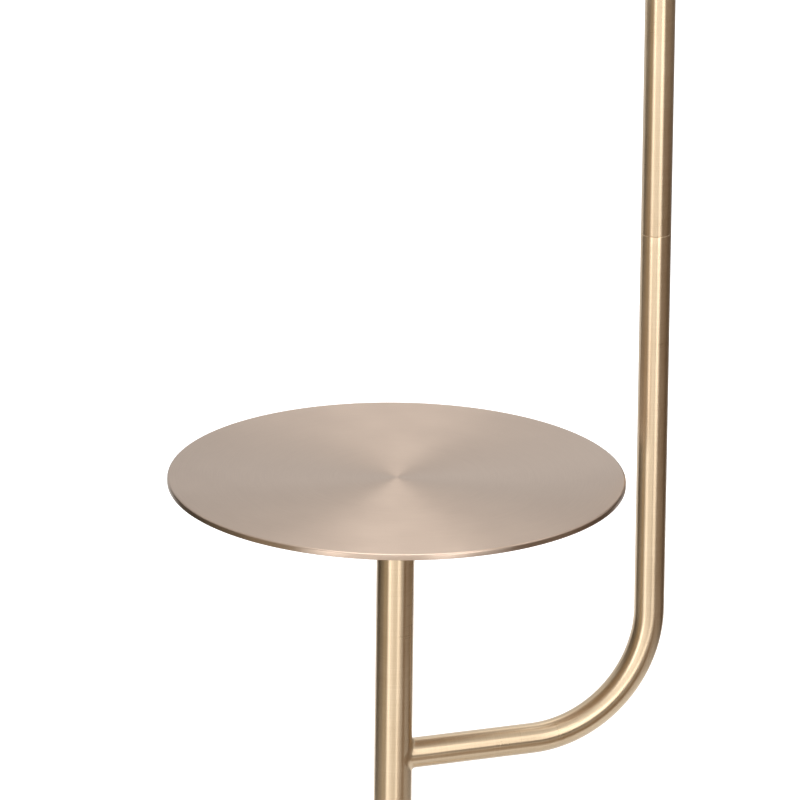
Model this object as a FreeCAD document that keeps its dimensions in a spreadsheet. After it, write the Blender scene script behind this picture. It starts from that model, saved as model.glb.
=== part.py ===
import FreeCAD, Part
import Sketcher
import math
import os
import re

# A standing lamp that carries a small round table. The stem rises from the middle of a
# round weighted base and ends under the table. Below the table a J-shaped arm is brazed to
# the stem's side; its free end turns up, is screwed to a straight pole, and the pole
# carries the lampholder, the harp and the drum shade beside the table.
#
# Frame: +Z is up, and the origin is the middle of the pad's underside, on the floor and on
# the stem's axis. The arm points along +X, and the front of the lamp is -Y. Millimetres.

SIZES = [
    # the base
    ("base_dia", "280", "across the base's cover"),
    ("base_height", "32", "floor to the cover's flat middle"),
    ("base_shoulder", "21", "floor to the corner where the cover's slope meets its rim"),
    ("base_corner", "9", "rounding of that corner"),
    ("base_flat_dia", "60", "across the cover's flat middle"),
    ("cover_sheet", "1.2", "sheet of the spun cover"),
    ("cover_lift", "1", "floor to the cover's lower edge"),
    ("pad_inset", "9", "how far the pad stays inside the cover's rim"),
    ("pad_thickness", "2", "thickness of the pad"),
    ("weight_gap", "3", "play between the weight's side and the cover"),
    ("recess_dia", "92", "across the recess under the weight"),
    ("recess_depth", "18", "depth of the recess under the weight"),
    ("lead_channel", "10", "width and height of the supply lead's channel"),
    ("inlet_height", "8", "floor to the axis of the supply lead's inlet"),
    ("grommet_bore", "6.6", "bore of the inlet's grommet"),
    ("grommet_neck", "10", "across the grommet's neck, in the cover's hole"),
    ("grommet_flange", "14", "across the grommet's two flanges"),
    ("grommet_lip", "1.8", "thickness of each flange"),
    ("block_length", "24", "terminal block, along X"),
    ("block_width", "18", "terminal block, along Y"),
    ("block_height", "15", "terminal block, hanging from the recess"),
    ("block_offset", "32", "stem axis to the terminal block's middle"),
    ("terminal_pitch", "8.5", "between the terminal block's two poles"),
    ("terminal_dia", "3.6", "across a terminal screw"),
    ("terminal_sunk", "1.5", "depth of a terminal screw's head in its well"),
    # the threaded tubes and the nuts on them
    ("nipple_dia", "10", "outside of the threaded tubes"),
    ("nipple_bore", "7", "bore of the threaded tubes"),
    ("nipple_grip", "14", "length that a threaded tube enters a plug"),
    ("nut_flats", "14", "across flats of the nuts on the threaded tubes"),
    ("nut_height", "4", "height of those nuts"),
    ("nipple_proud", "1", "how far a threaded tube stands out of its nut"),
    ("washer_dia", "26", "across the washer under the base nut"),
    ("washer_thickness", "1.6", "thickness of that washer"),
    ("plug_length", "16", "length of the tapped plugs in the tubes"),
    # the stem
    ("stem_dia", "25", "outside of the stem"),
    ("stem_wall", "1.5", "wall of the stem"),
    ("collar_dia", "36", "across the collar at the stem's foot"),
    ("collar_height", "11", "height of that collar"),
    ("collar_lip", "2.2", "width of the collar's top round the stem"),
    ("side_hole", "16", "hole in the stem's side where the lead enters the arm"),
    # the table
    ("table_height", "580", "floor to the table's top"),
    ("table_dia", "300", "across the table"),
    ("table_edge", "4", "height of the table's turned-down edge"),
    ("table_sheet", "1.5", "sheet of the table"),
    ("table_round", "1.4", "outside rounding of the table's edge"),
    ("flange_dia", "84", "across the flange under the table"),
    ("flange_thickness", "4", "thickness of that flange"),
    ("spigot_length", "24", "length of the flange's spigot in the stem"),
    ("stud_dia", "4", "studs welded under the table"),
    ("stud_length", "8", "length of those studs"),
    ("stud_circle", "60", "circle on which the studs stand"),
    ("stud_nut_flats", "7", "across flats of the nuts on the studs"),
    ("stud_nut_height", "3.2", "height of those nuts"),
    ("grub_dia", "5", "grub screw that holds the spigot in the stem"),
    ("grub_length", "5", "length of the grub screw"),
    ("grub_sunk", "0.2", "how far the grub screw lies under the stem's surface"),
    # the arm and the pole
    ("pole_dia", "20", "outside of the arm and of the pole"),
    ("pole_wall", "1.2", "wall of the arm and of the pole"),
    ("arm_drop", "194", "table's top down to the arm's axis"),
    ("arm_reach", "180", "stem axis to pole axis"),
    ("bend_radius", "82", "radius of the bend, on the tube's axis"),
    ("braze_radius", "2.2", "fillet of brazing metal between arm and stem"),
    ("seam_rise", "149", "table's top up to the seam between arm and pole"),
    ("seam_round", "0.4", "rounding of the two tube ends at the seam"),
    ("pole_length", "500", "length of the straight pole above the seam"),
    # the lead inside the tubes
    ("lead_dia", "5", "outside of the lead in the tubes"),
    ("lead_foot_radius", "6", "bend of the lead under the base"),
    ("lead_turn_radius", "25", "bend of the lead from the stem into the arm"),
    # the neck and the lampholder
    ("neck_height", "14", "height of the turned neck on the pole"),
    ("neck_dia", "26", "across the neck's top"),
    ("neck_waist", "15", "across the neck's waist"),
    ("neck_ledge", "1", "how far the neck's foot stands out round the pole"),
    ("cap_dia", "34", "across the lampholder's cap"),
    ("cap_height", "20", "height of the lampholder's cap"),
    ("cap_slant_width", "5", "width of the slant round the cap's floor"),
    ("cap_slant_height", "7", "height of that slant"),
    ("cap_floor_round", "3", "rounding between the cap's floor and the slant"),
    ("cap_wall_round", "4", "rounding between the slant and the cap's wall"),
    ("holder_sheet", "0.7", "sheet of the cap and of the shell"),
    ("shell_dia", "31.8", "across the lampholder's shell"),
    ("shell_height", "46", "length of the lampholder's shell"),
    ("shell_entry", "8", "length of the shell inside the cap"),
    ("shell_bead", "0.8", "how far the bead round the shell's mouth stands out"),
    ("shell_bead_height", "2", "height of that bead"),
    ("liner_paper", "0.4", "paper liner of the shell"),
    ("switch_height", "18", "height of the moulded body that holds the switch"),
    ("screw_dia", "28", "across the threaded shell for the bulb"),
    ("screw_sheet", "0.5", "sheet of the threaded shell"),
    ("screw_height", "21", "height of the threaded shell"),
    ("contact_dia", "8", "across the middle contact"),
    ("contact_height", "2.4", "height of the middle contact"),
    ("contact_round", "0.8", "rounding of the middle contact"),
    ("contact_gap", "1.5", "play between the middle contact and the threaded shell"),
    ("key_rise", "10.8", "foot of the moulded body up to the shaft's axis"),
    ("key_dia", "3.2", "shaft of the switch"),
    ("key_length", "26", "length of the shaft"),
    ("key_entry", "7", "shell's outside in to the shaft's inner end"),
    ("knob_dia", "11", "across the switch's knob"),
    ("knob_length", "17", "length of the switch's knob"),
    ("knob_foot", "8", "across the knob's foot"),
    ("knob_foot_length", "6", "length over which the knob widens"),
    ("knob_end", "3", "thickness of the knob's closed end"),
    ("flute_dia", "2.2", "across the flutes round the knob"),
    ("flute_depth", "0.44", "depth of those flutes"),
    # the harp
    ("saddle_sheet", "1.6", "strip of the harp's saddle"),
    ("saddle_width", "13", "width of that strip"),
    ("saddle_span", "56", "between the axes of the harp's two legs at the saddle"),
    ("saddle_shoulder", "14", "height of the saddle's shoulders"),
    ("tongue_height", "10", "height of the tongues above the shoulders"),
    ("tongue_width", "4.6", "width of the tongues"),
    ("harp_wire", "4", "wire of the harp"),
    ("harp_width", "112", "between the axes of the harp's legs at the bulb"),
    ("harp_height", "206", "leg's end up to the axis of the harp's top"),
    ("harp_foot", "26", "straight foot of each leg"),
    ("harp_flare", "26", "height over which a leg swings out"),
    ("harp_flare_radius", "14", "bends of that swing"),
    ("harp_arch_radius", "46", "bends of the harp's top"),
    ("sleeve_dia", "8.4", "outside of the sliding sleeves"),
    ("sleeve_bore", "5.8", "bore of the sliding sleeves"),
    ("sleeve_length", "18", "length of the sliding sleeves"),
    ("seat_dia", "19", "across the shade's seat on the harp"),
    ("seat_height", "4", "seat's top above the axis of the harp's top"),
    ("post_dia", "6.2", "threaded post above the seat"),
    ("post_length", "14", "height of that post"),
    # the finial
    ("finial_foot", "13", "across the finial's foot"),
    ("finial_foot_height", "2.5", "height of that foot"),
    ("finial_neck", "9.4", "across the finial's neck"),
    ("finial_neck_height", "9.5", "height at which the neck ends and the ball starts"),
    ("finial_ball", "18", "across the finial's ball"),
    ("finial_ball_low", "3.5", "height over which the ball widens"),
    ("finial_ball_high", "3.6", "height over which the ball closes"),
    ("finial_tip", "4", "across the finial's flat tip"),
    ("finial_height", "31", "height of the finial"),
    # the shade
    ("shade_top_dia", "340", "across the top of the linen"),
    ("shade_bottom_dia", "380", "across the bottom of the linen"),
    ("shade_height", "250", "height of the shade"),
    ("linen", "0.8", "thickness of the linen"),
    ("backing", "0.6", "thickness of the stiff backing"),
    ("hem", "6", "width of the linen that is turned in over each ring"),
    ("ring_wire", "3.6", "wire of the two rings"),
    ("spider_wire", "3.2", "wire of the three spokes"),
    ("spider_drop", "12", "hub's underside below the axis of the top ring"),
    ("spider_knee", "16", "length of a spoke's rising end"),
    ("spider_bend", "12", "bend between a spoke and its rising end"),
    ("hub_dia", "24", "across the hub"),
    ("hub_sheet", "1.6", "sheet of the hub"),
    # the bulb
    ("bulb_dia", "60", "across the glass"),
    ("bulb_length", "84", "height of the glass above its cap"),
    ("bulb_glass_wall", "0.9", "wall of the glass"),
    ("bulb_cap_dia", "26.2", "across the bulb's threaded cap"),
    ("bulb_cap_height", "25", "height of that cap"),
    ("bulb_cap_sheet", "0.5", "sheet of that cap"),
    ("bulb_cap_cone", "4", "height of the cone at the cap's foot"),
    ("glass_entry", "6", "length of the glass inside the cap"),
    ("glass_neck", "20", "height of the glass's neck"),
    ("glass_neck_round", "18", "rounding between the neck and the flare"),
    ("glass_waist", "46.8", "height at which the glass is widest"),
    ("glass_waist_round", "18", "rounding where the glass is widest"),
    ("glass_top_round", "25.2", "rounding of the glass's top"),
    ("mount_dia", "6", "glass rod that carries the light source"),
    ("mount_rim", "3", "thickness of that rod's foot in the neck"),
    ("mount_flare", "7", "height at which the foot has narrowed to the rod"),
    ("mount_height", "24", "height of that rod"),
    ("mount_plate_dia", "18", "plate on the rod's top"),
    ("mount_plate_thickness", "2", "thickness of that plate"),
    ("filament_dia", "2", "across one light-giving rod"),
    ("filament_length", "30", "length of those rods"),
    ("filament_circle", "15", "circle on which those rods stand"),
    # clearances
    ("press", "0.05", "radial play of a piece that is pressed or screwed in"),
    ("turning", "0.05", "radial play of a piece that turns"),
    ("loose", "0.3", "radial play of a piece that only passes through"),
]

STUDS = 4
SPOKES = 3
KNOB_FLUTES = 12
FILAMENTS = 4
HEXAGON = [60 * step for step in range(6)]

document = FreeCAD.newDocument("FloorLampWithTable")
sheet = document.addObject("Spreadsheet::Sheet", "Sizes")
for row, (name, size, meaning) in enumerate(SIZES, start=1):
    sheet.set(f"A{row}", meaning)
    sheet.set(f"B{row}", size)
    sheet.setAlias(f"B{row}", name)
document.recompute()
NAMES = {name for name, size, meaning in SIZES}

# Derived places and sizes, as expressions on the sheet.
pole_top = "(table_height + seam_rise + pole_length)"
arm_axis = "(table_height - arm_drop)"
seam = "(table_height + seam_rise)"
stem_bore = "(stem_dia - 2 * stem_wall)"
pole_bore = "(pole_dia - 2 * pole_wall)"
recess_top = "(pad_thickness + recess_depth)"
base_nut_foot = f"({recess_top} - washer_thickness - nut_height)"
flange_top = "(table_height - table_sheet)"
stem_top = f"({flange_top} - flange_thickness)"
saddle_foot = f"({pole_top} + neck_height)"
holder_foot = f"({saddle_foot} + saddle_sheet)"
switch_foot = f"({holder_foot} + cap_height - shell_entry + holder_sheet)"
switch_top = f"({switch_foot} + switch_height)"
harp_foot_level = f"({saddle_foot} + saddle_shoulder + tongue_height)"
hub_foot = f"({harp_foot_level} + harp_height + seat_height)"
top_ring_level = f"({hub_foot} + spider_drop)"
shade_foot = f"({top_ring_level} + ring_wire / 2 + linen + press - shade_height)"
base_nipple_foot = f"({base_nut_foot} - nipple_proud)"
lead_foot_level = f"({base_nipple_foot} - lead_foot_radius)"


def linked(text):
    """The text as an expression: every size's name gets the sheet's name in front."""

    def link(word):
        return f"Sizes.{word.group()}" if word.group() in NAMES else word.group()

    return re.sub(r"[a-z_]+", link, text)


def value(text):
    """What the expression comes to, as a number."""
    return float(sheet.evalExpression(linked(text)))


def new_body(label, x="0", z="0", turn=None):
    """An empty body with its own place; turn is an axis and an angle in degrees."""
    body = document.addObject("PartDesign::Body", label)
    body.Label = label
    if turn:
        body.Placement = FreeCAD.Placement(FreeCAD.Vector(), FreeCAD.Rotation(*turn))
    body.setExpression("Placement.Base.x", linked(x))
    body.setExpression("Placement.Base.z", linked(z))
    return body


def new_sketch(body, role, name, lift=None):
    """A sketch on one of the body's own origin planes, or lifted off it along its normal."""
    sketch = body.newObject("Sketcher::SketchObject", name)
    planes = [item for item in body.Origin.OriginFeatures if item.Role == role]
    sketch.AttachmentSupport = [(planes[0], "")]
    sketch.MapMode = "FlatFace"
    if lift:
        sketch.setExpression("AttachmentOffset.Base.z", linked(lift))
    return sketch


def hold_point(sketch, geometry, end, x, y):
    """Holds a point of the sketch at x, y from the sketch's origin."""
    for kind, text in (("DistanceX", x), ("DistanceY", y)):
        rule = Sketcher.Constraint(kind, -1, 1, geometry, end, value(text))
        index = sketch.addConstraint(rule)
        sketch.setExpression(f"Constraints[{index}]", linked(text))


def draw_circle(sketch, diameter, x="0", y="0"):
    """A circle of that diameter round x, y."""
    centre = FreeCAD.Vector(value(x), value(y), 0)
    circle = Part.Circle(centre, FreeCAD.Vector(0, 0, 1), value(diameter) / 2)
    geometry = sketch.addGeometry(circle)
    rule = Sketcher.Constraint("Diameter", geometry, value(diameter))
    index = sketch.addConstraint(rule)
    sketch.setExpression(f"Constraints[{index}]", linked(diameter))
    hold_point(sketch, geometry, 3, x, y)


def round_corner(sketch, corner, before, after, runs):
    """An arc of the corner's radius, tangent to the runs before and after it."""
    place = FreeCAD.Vector(value(corner[0]), value(corner[1]), 0)
    radius = value(corner[2])
    back = (before - place).normalize()
    ahead = (after - place).normalize()
    half = back.getAngle(ahead) / 2
    centre = place + (back + ahead).normalize() * (radius / math.sin(half))
    enter = place + back * (radius / math.tan(half)) - centre
    leave = place + ahead * (radius / math.tan(half)) - centre
    left = back.cross(ahead).z < 0
    first, last = (enter, leave) if left else (leave, enter)
    start = math.atan2(first.y, first.x)
    sweep = (math.atan2(last.y, last.x) - start) % (2 * math.pi)
    circle = Part.Circle(centre, FreeCAD.Vector(0, 0, 1), radius)
    arc = sketch.addGeometry(Part.ArcOfCircle(circle, start, start + sweep))
    point = sketch.addGeometry(Part.Point(place), True)
    enter_end, leave_end = (1, 2) if left else (2, 1)
    sketch.addConstraint(Sketcher.Constraint("Tangent", runs[0], 2, arc, enter_end))
    sketch.addConstraint(Sketcher.Constraint("Tangent", runs[1], 1, arc, leave_end))
    sketch.addConstraint(Sketcher.Constraint("PointOnObject", point, 1, runs[0]))
    sketch.addConstraint(Sketcher.Constraint("PointOnObject", point, 1, runs[1]))
    index = sketch.addConstraint(Sketcher.Constraint("Radius", arc, radius))
    sketch.setExpression(f"Constraints[{index}]", linked(corner[2]))
    hold_point(sketch, point, 1, corner[0], corner[1])


def draw(sketch, corners, closed=True):
    """Straight runs from corner to corner; a corner's third value is its rounding radius."""
    places = [FreeCAD.Vector(value(corner[0]), value(corner[1]), 0) for corner in corners]
    count = len(corners)

    def cut_back(index, neighbour):
        """How far the run stops before a rounded corner."""
        if len(corners[index]) < 3:
            return places[index]
        one = (places[index - 1] - places[index]).normalize()
        other = (places[(index + 1) % count] - places[index]).normalize()
        reach = value(corners[index][2]) / math.tan(one.getAngle(other) / 2)
        return places[index] + (places[neighbour] - places[index]).normalize() * reach

    runs = []
    for index in range(count if closed else count - 1):
        following = (index + 1) % count
        line = Part.LineSegment(cut_back(index, following), cut_back(following, index))
        runs.append(sketch.addGeometry(line))
    for index, corner in enumerate(corners):
        inner = closed or 0 < index < count - 1
        if inner and len(corner) == 3:
            before, after = places[index - 1], places[(index + 1) % count]
            round_corner(sketch, corner, before, after, (runs[index - 1], runs[index]))
        elif inner:
            meet = Sketcher.Constraint("Coincident", runs[index - 1], 2, runs[index], 1)
            sketch.addConstraint(meet)
            hold_point(sketch, runs[index], 1, corner[0], corner[1])
        elif index == 0:
            hold_point(sketch, runs[0], 1, corner[0], corner[1])
        else:
            hold_point(sketch, runs[-1], 2, corner[0], corner[1])


def revolve(body, name, corners):
    """A turned solid: the outline is half of its section, X out from the axis and Z up."""
    sketch = new_sketch(body, "XZ_Plane", f"{name}_section")
    draw(sketch, corners)
    feature = body.newObject("PartDesign::Revolution", name)
    feature.Profile = sketch
    feature.ReferenceAxis = (sketch, ["V_Axis"])
    feature.Angle = 360
    sketch.Visibility = False
    return feature


def turned(label, corners, x="0", z="0", turn=None):
    """A piece that is one turned solid."""
    body = new_body(label, x, z, turn)
    revolve(body, f"{label}_turning", corners)
    return body


def pad(body, name, sketch, length, middle=False):
    """Adds the sketch's outline as a plate or rod of that length."""
    feature = body.newObject("PartDesign::Pad", name)
    feature.Profile = sketch
    feature.setExpression("Length", linked(length))
    feature.Midplane = middle
    return feature


def drill(body, name, role, circles, length=None, backward=False, lift=None):
    """Cuts round holes, right through the piece or to a depth; each is diameter, x, y."""
    sketch = new_sketch(body, role, f"{name}_circles", lift)
    for circle in circles:
        draw_circle(sketch, *circle)
    feature = body.newObject("PartDesign::Pocket", name)
    feature.Profile = sketch
    if length:
        feature.setExpression("Length", linked(length))
        feature.Reversed = backward
    else:
        feature.Type = "ThroughAll"
        feature.Midplane = True
    return feature


def circled(body, name, original, count):
    """Repeats a feature round the body's Z axis."""
    feature = body.newObject("PartDesign::PolarPattern", name)
    feature.Originals = [original]
    axes = [item for item in body.Origin.OriginFeatures if item.Role == "Z_Axis"]
    feature.Axis = (axes[0], [""])
    feature.Angle = 360
    feature.Occurrences = count
    body.Tip = feature
    return feature


def bent_rod(body, name, corners, diameter, bore=None, start_plane="XY_Plane"):
    """A rod or tube along a path in the XZ plane; the path starts on start_plane."""
    path = new_sketch(body, "XZ_Plane", f"{name}_path")
    draw(path, corners, closed=False)
    section = new_sketch(body, start_plane, f"{name}_section")
    centre = (corners[0][0], "0") if start_plane == "XY_Plane" else ("0", corners[0][1])
    draw_circle(section, diameter, *centre)
    if bore:
        draw_circle(section, bore, *centre)
    document.recompute()
    feature = body.newObject("PartDesign::AdditivePipe", name)
    feature.Profile = section
    feature.Spine = path
    return feature


def ring_section(outer, inner, low, high):
    """The corners of a plain washer's or tube's section, from two diameters and two heights."""
    return [
        (f"({inner}) / 2", low),
        (f"({outer}) / 2", low),
        (f"({outer}) / 2", high),
        (f"({inner}) / 2", high),
    ]


def hex_nut(label, flats, height, bore, x="0", z="0"):
    """A hexagon nut whose lower face lies at its place."""
    body = new_body(label, x, z)
    sketch = new_sketch(body, "XY_Plane", f"{label}_hexagon")
    half_corners = f"({flats}) / sqrt(3)"
    corners = []
    for angle in HEXAGON:
        corners.append(
            (f"{half_corners} * cos({angle} deg)", f"{half_corners} * sin({angle} deg)")
        )
    draw(sketch, corners)
    draw_circle(sketch, bore)
    pad(body, f"{label}_plate", sketch, height)
    return body


def in_stem_or_pole(label, bore, tap, x, z):
    """A tapped plug pressed into a tube, its lower face at z."""
    corners = ring_section(f"{bore} - 2 * press", f"{tap} + 2 * press", "0", "plug_length")
    return turned(label, corners, x, z)


parts = {}

# ---- The base -------------------------------------------------------------------------

# A rubber disc glued under the whole weight.
pad_radius = "(base_dia / 2 - pad_inset)"
parts["base_pad"] = turned(
    "base_pad",
    [("0", "0"), (pad_radius, "0"), (pad_radius, "pad_thickness"), ("0", "pad_thickness")],
)

# The cast-iron disc: its top follows the cover, and its middle touches the cover's flat.
weight = new_body("base_weight")
weight_radius = "(base_dia / 2 - cover_sheet - weight_gap)"
revolve(
    weight,
    "weight_casting",
    [
        ("nipple_dia / 2 + loose", recess_top),
        ("recess_dia / 2", recess_top),
        ("recess_dia / 2", "pad_thickness"),
        (weight_radius, "pad_thickness"),
        (weight_radius, "base_shoulder - 2 * cover_sheet", "base_corner - cover_sheet"),
        ("base_flat_dia / 2", "base_height - cover_sheet"),
        ("nipple_dia / 2 + loose", "base_height - cover_sheet"),
    ],
)
channel = new_sketch(weight, "XY_Plane", "channel_outline")
draw(
    channel,
    [
        ("-base_dia / 2", "-lead_channel / 2"),
        ("-recess_dia / 2 + lead_channel", "-lead_channel / 2"),
        ("-recess_dia / 2 + lead_channel", "lead_channel / 2"),
        ("-base_dia / 2", "lead_channel / 2"),
    ],
)
channel_cut = weight.newObject("PartDesign::Pocket", "lead_channel")
channel_cut.Profile = channel
channel_cut.Reversed = True
channel_cut.setExpression("Length", linked("inlet_height + lead_channel / 2"))
parts["base_weight"] = weight

# The spun cover: a flat middle, a shallow slope, a rounded shoulder and a straight rim.
cover = new_body("base_cover")
revolve(
    cover,
    "cover_spinning",
    [
        ("nipple_dia / 2 + loose", "base_height - cover_sheet"),
        ("base_flat_dia / 2", "base_height - cover_sheet"),
        ("base_dia / 2 - cover_sheet", "base_shoulder - cover_sheet", "base_corner - cover_sheet"),
        ("base_dia / 2 - cover_sheet", "cover_lift"),
        ("base_dia / 2", "cover_lift"),
        ("base_dia / 2", "base_shoulder", "base_corner"),
        ("base_flat_dia / 2", "base_height"),
        ("nipple_dia / 2 + loose", "base_height"),
    ],
)
inlet = [("grommet_neck + 2 * press", "0", "inlet_height")]
drill(cover, "inlet_hole", "YZ_Plane", inlet, "base_dia")
parts["base_cover"] = cover

# The rubber grommet of the supply lead's inlet: a neck in the rim and a flange on each side.
parts["cord_grommet"] = turned(
    "cord_grommet",
    [
        ("grommet_bore / 2", "-grommet_lip - cover_sheet - loose"),
        ("grommet_flange / 2", "-grommet_lip - cover_sheet - loose"),
        ("grommet_flange / 2", "-cover_sheet - loose"),
        ("grommet_neck / 2", "-cover_sheet - loose"),
        ("grommet_neck / 2", "press"),
        ("grommet_flange / 2", "press"),
        ("grommet_flange / 2", "press + grommet_lip", "grommet_lip / 2"),
        ("grommet_bore / 2", "press + grommet_lip"),
    ],
    "-base_dia / 2",
    "inlet_height",
    (FreeCAD.Vector(0, 1, 0), -90),
)

# The threaded tube that pulls the stem down on the cover, with its washer and nut.
parts["base_nipple"] = turned(
    "base_nipple",
    ring_section("nipple_dia", "nipple_bore", "0", f"base_height + nipple_grip - {base_nipple_foot}"),
    z=base_nipple_foot,
)
parts["base_washer"] = turned(
    "base_washer",
    ring_section("washer_dia", "nipple_dia + 2 * loose", "0", "washer_thickness"),
    z=f"{recess_top} - washer_thickness",
)
parts["base_nut"] = hex_nut(
    "base_nut", "nut_flats", "nut_height", "nipple_dia + 2 * press", z=base_nut_foot
)

# The terminal block hangs in the recess; the supply lead enters one side, the inner lead
# leaves the other, and two screws a side clamp their cores.
block = new_body("terminal_block", "-block_offset", f"{recess_top} - block_height")
block_outline = new_sketch(block, "XY_Plane", "block_outline")
draw(
    block_outline,
    [
        ("-block_length / 2", "-block_width / 2"),
        ("block_length / 2", "-block_width / 2"),
        ("block_length / 2", "block_width / 2"),
        ("-block_length / 2", "block_width / 2"),
    ],
)
pad(block, "block_moulding", block_outline, "block_height")
screw_places = []
for side in ("-", ""):
    for pole in ("-", ""):
        screw_places.append((f"{side}block_length / 4", f"{pole}terminal_pitch / 2"))
wells = [("terminal_dia + 2 * loose", x, y) for x, y in screw_places]
drill(block, "screw_wells", "XY_Plane", wells, "block_height / 2", True)
parts["terminal_block"] = block

screws = new_body("terminal_screws", "-block_offset", f"{recess_top} - block_height / 2")
screw_circles = new_sketch(screws, "XY_Plane", "screw_circles")
for x, y in screw_places:
    draw_circle(screw_circles, "terminal_dia", x, y)
screw_pad = pad(screws, "screw_rods", screw_circles, "block_height / 2 - terminal_sunk")
screw_pad.Reversed = True
parts["terminal_screws"] = screws

# ---- The stem -------------------------------------------------------------------------

# The collar hides the joint of stem and base.
parts["stem_collar"] = turned(
    "stem_collar",
    [
        ("stem_dia / 2 + press", "0"),
        ("collar_dia / 2", "0"),
        ("collar_dia / 2", "collar_height / 3"),
        ("stem_dia / 2 + collar_lip", "collar_height", "collar_height / 4"),
        ("stem_dia / 2 + press", "collar_height"),
    ],
    z="base_height",
)
parts["stem_bottom_plug"] = in_stem_or_pole(
    "stem_bottom_plug", stem_bore, "nipple_dia", "0", "base_height"
)

# The stem: a straight tube with a hole in its side for the lead and one for the grub screw.
stem = new_body("stem_tube", z="base_height")
stem_ring = new_sketch(stem, "XY_Plane", "stem_ring")
draw_circle(stem_ring, "stem_dia")
draw_circle(stem_ring, stem_bore)
pad(stem, "stem_length", stem_ring, f"{stem_top} - base_height")
lead_hole = [("side_hole", "0", f"{arm_axis} - base_height")]
drill(stem, "side_hole_cut", "YZ_Plane", lead_hole, "stem_dia", True)
grub_level = f"({stem_top} - spigot_length / 2)"
grub_hole = [("grub_dia + 2 * press", "0", f"{grub_level} - base_height")]
drill(stem, "grub_hole_cut", "XZ_Plane", grub_hole, "stem_dia")
parts["stem_tube"] = stem

# ---- The table ------------------------------------------------------------------------

# The flange is one turning: a plate under the table and a spigot in the stem.
flange = new_body("table_flange", z=stem_top)
revolve(
    flange,
    "flange_turning",
    [
        ("0", "-spigot_length"),
        (f"{stem_bore} / 2 - press", "-spigot_length"),
        (f"{stem_bore} / 2 - press", "0"),
        ("flange_dia / 2", "0"),
        ("flange_dia / 2", "flange_thickness", "flange_thickness / 3"),
        ("0", "flange_thickness"),
    ],
)
stud_hole = [("stud_dia + 2 * loose", "stud_circle / 2", "0")]
stud_cut = drill(flange, "stud_hole", "XY_Plane", stud_hole, "flange_thickness", True)
circled(flange, "stud_holes", stud_cut, STUDS)
grub_seat = [("grub_dia + 2 * press", "0", "-spigot_length / 2")]
drill(flange, "grub_seat", "XZ_Plane", grub_seat, f"{stem_bore} / 2")
parts["table_flange"] = flange

# The grub screw lies in the stem's wall and the spigot, at the back of the lamp.
grub = new_body("flange_screw", z=grub_level)
grub_circle = new_sketch(grub, "XZ_Plane", "grub_circle", "-stem_dia / 2 + grub_sunk")
draw_circle(grub_circle, "grub_dia")
pad(grub, "grub_rod", grub_circle, "grub_length")
parts["flange_screw"] = grub

# The table: a spun disc with its edge turned down, and four studs welded to its underside.
disc = new_body("table_disc", z="table_height")
revolve(
    disc,
    "disc_spinning",
    [
        ("0", "-table_sheet"),
        ("table_dia / 2 - table_sheet", "-table_sheet"),
        ("table_dia / 2 - table_sheet", "-table_edge"),
        ("table_dia / 2", "-table_edge"),
        ("table_dia / 2", "0", "table_round"),
        ("0", "0"),
    ],
)
stud_circle = new_sketch(disc, "XY_Plane", "stud_section", "-table_sheet - stud_length")
draw_circle(stud_circle, "stud_dia", "stud_circle / 2", "0")
stud = pad(disc, "stud", stud_circle, "stud_length + table_sheet / 2")
circled(disc, "studs", stud, STUDS)
parts["table_disc"] = disc

# The nuts on the studs are one group of four.
nuts = new_body("table_nuts", z=f"{stem_top} - stud_nut_height")
nuts.AllowCompound = True
nut_outline = new_sketch(nuts, "XY_Plane", "nut_hexagon")
nut_corners = []
stud_nut_corner = "stud_nut_flats / sqrt(3)"
for angle in HEXAGON:
    nut_corners.append(
        (
            f"stud_circle / 2 + {stud_nut_corner} * cos({angle} deg)",
            f"{stud_nut_corner} * sin({angle} deg)",
        )
    )
draw(nut_outline, nut_corners)
draw_circle(nut_outline, "stud_dia + 2 * press", "stud_circle / 2")
one_nut = pad(nuts, "one_nut", nut_outline, "stud_nut_height")
circled(nuts, "all_nuts", one_nut, STUDS)
parts["table_nuts"] = nuts

# ---- The arm and the pole -------------------------------------------------------------


def brazed_arm():
    """The J-shaped tube with its end coped to the stem and a fillet of brazing metal."""
    across, along = FreeCAD.Vector(0, 1, 0), FreeCAD.Vector(1, 0, 0)
    up = FreeCAD.Vector(0, 0, 1)
    level, reach, radius = value(arm_axis), value("arm_reach"), value("bend_radius")
    elbow = FreeCAD.Vector(reach, 0, level)
    bend_start = elbow - along * radius
    bend_end = elbow + up * radius
    bend_middle = bend_start + up * radius + (along - up) * (radius / math.sqrt(2))
    spine = Part.Wire(
        [
            Part.LineSegment(FreeCAD.Vector(0, 0, level), bend_start).toShape(),
            Part.Arc(bend_start, bend_middle, bend_end).toShape(),
            Part.LineSegment(bend_end, FreeCAD.Vector(reach, 0, value(seam))).toShape(),
        ]
    )

    def rod(diameter):
        circle = Part.Circle(FreeCAD.Vector(0, 0, level), along, diameter / 2)
        return spine.makePipeShell([Part.Wire(circle.toShape())], True, False)

    below = FreeCAD.Vector(0, 0, level - 2 * value("pole_dia"))
    stem_rod = Part.makeCylinder(value("stem_dia") / 2, 4 * value("pole_dia"), below, up)
    joined = stem_rod.fuse(rod(value("pole_dia")))
    limit = value("pole_dia")
    root = [edge for edge in joined.Edges if is_root(edge, level, limit)]
    filleted = joined.makeFillet(value("braze_radius"), root)
    hollow = filleted.cut(stem_rod).cut(rod(value(pole_bore)))
    tube = max(hollow.Solids, key=lambda solid: solid.Volume)
    end = [edge for edge in tube.Edges if is_end(edge, value(seam), limit)]
    return tube.makeFillet(value("seam_round"), end)


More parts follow.
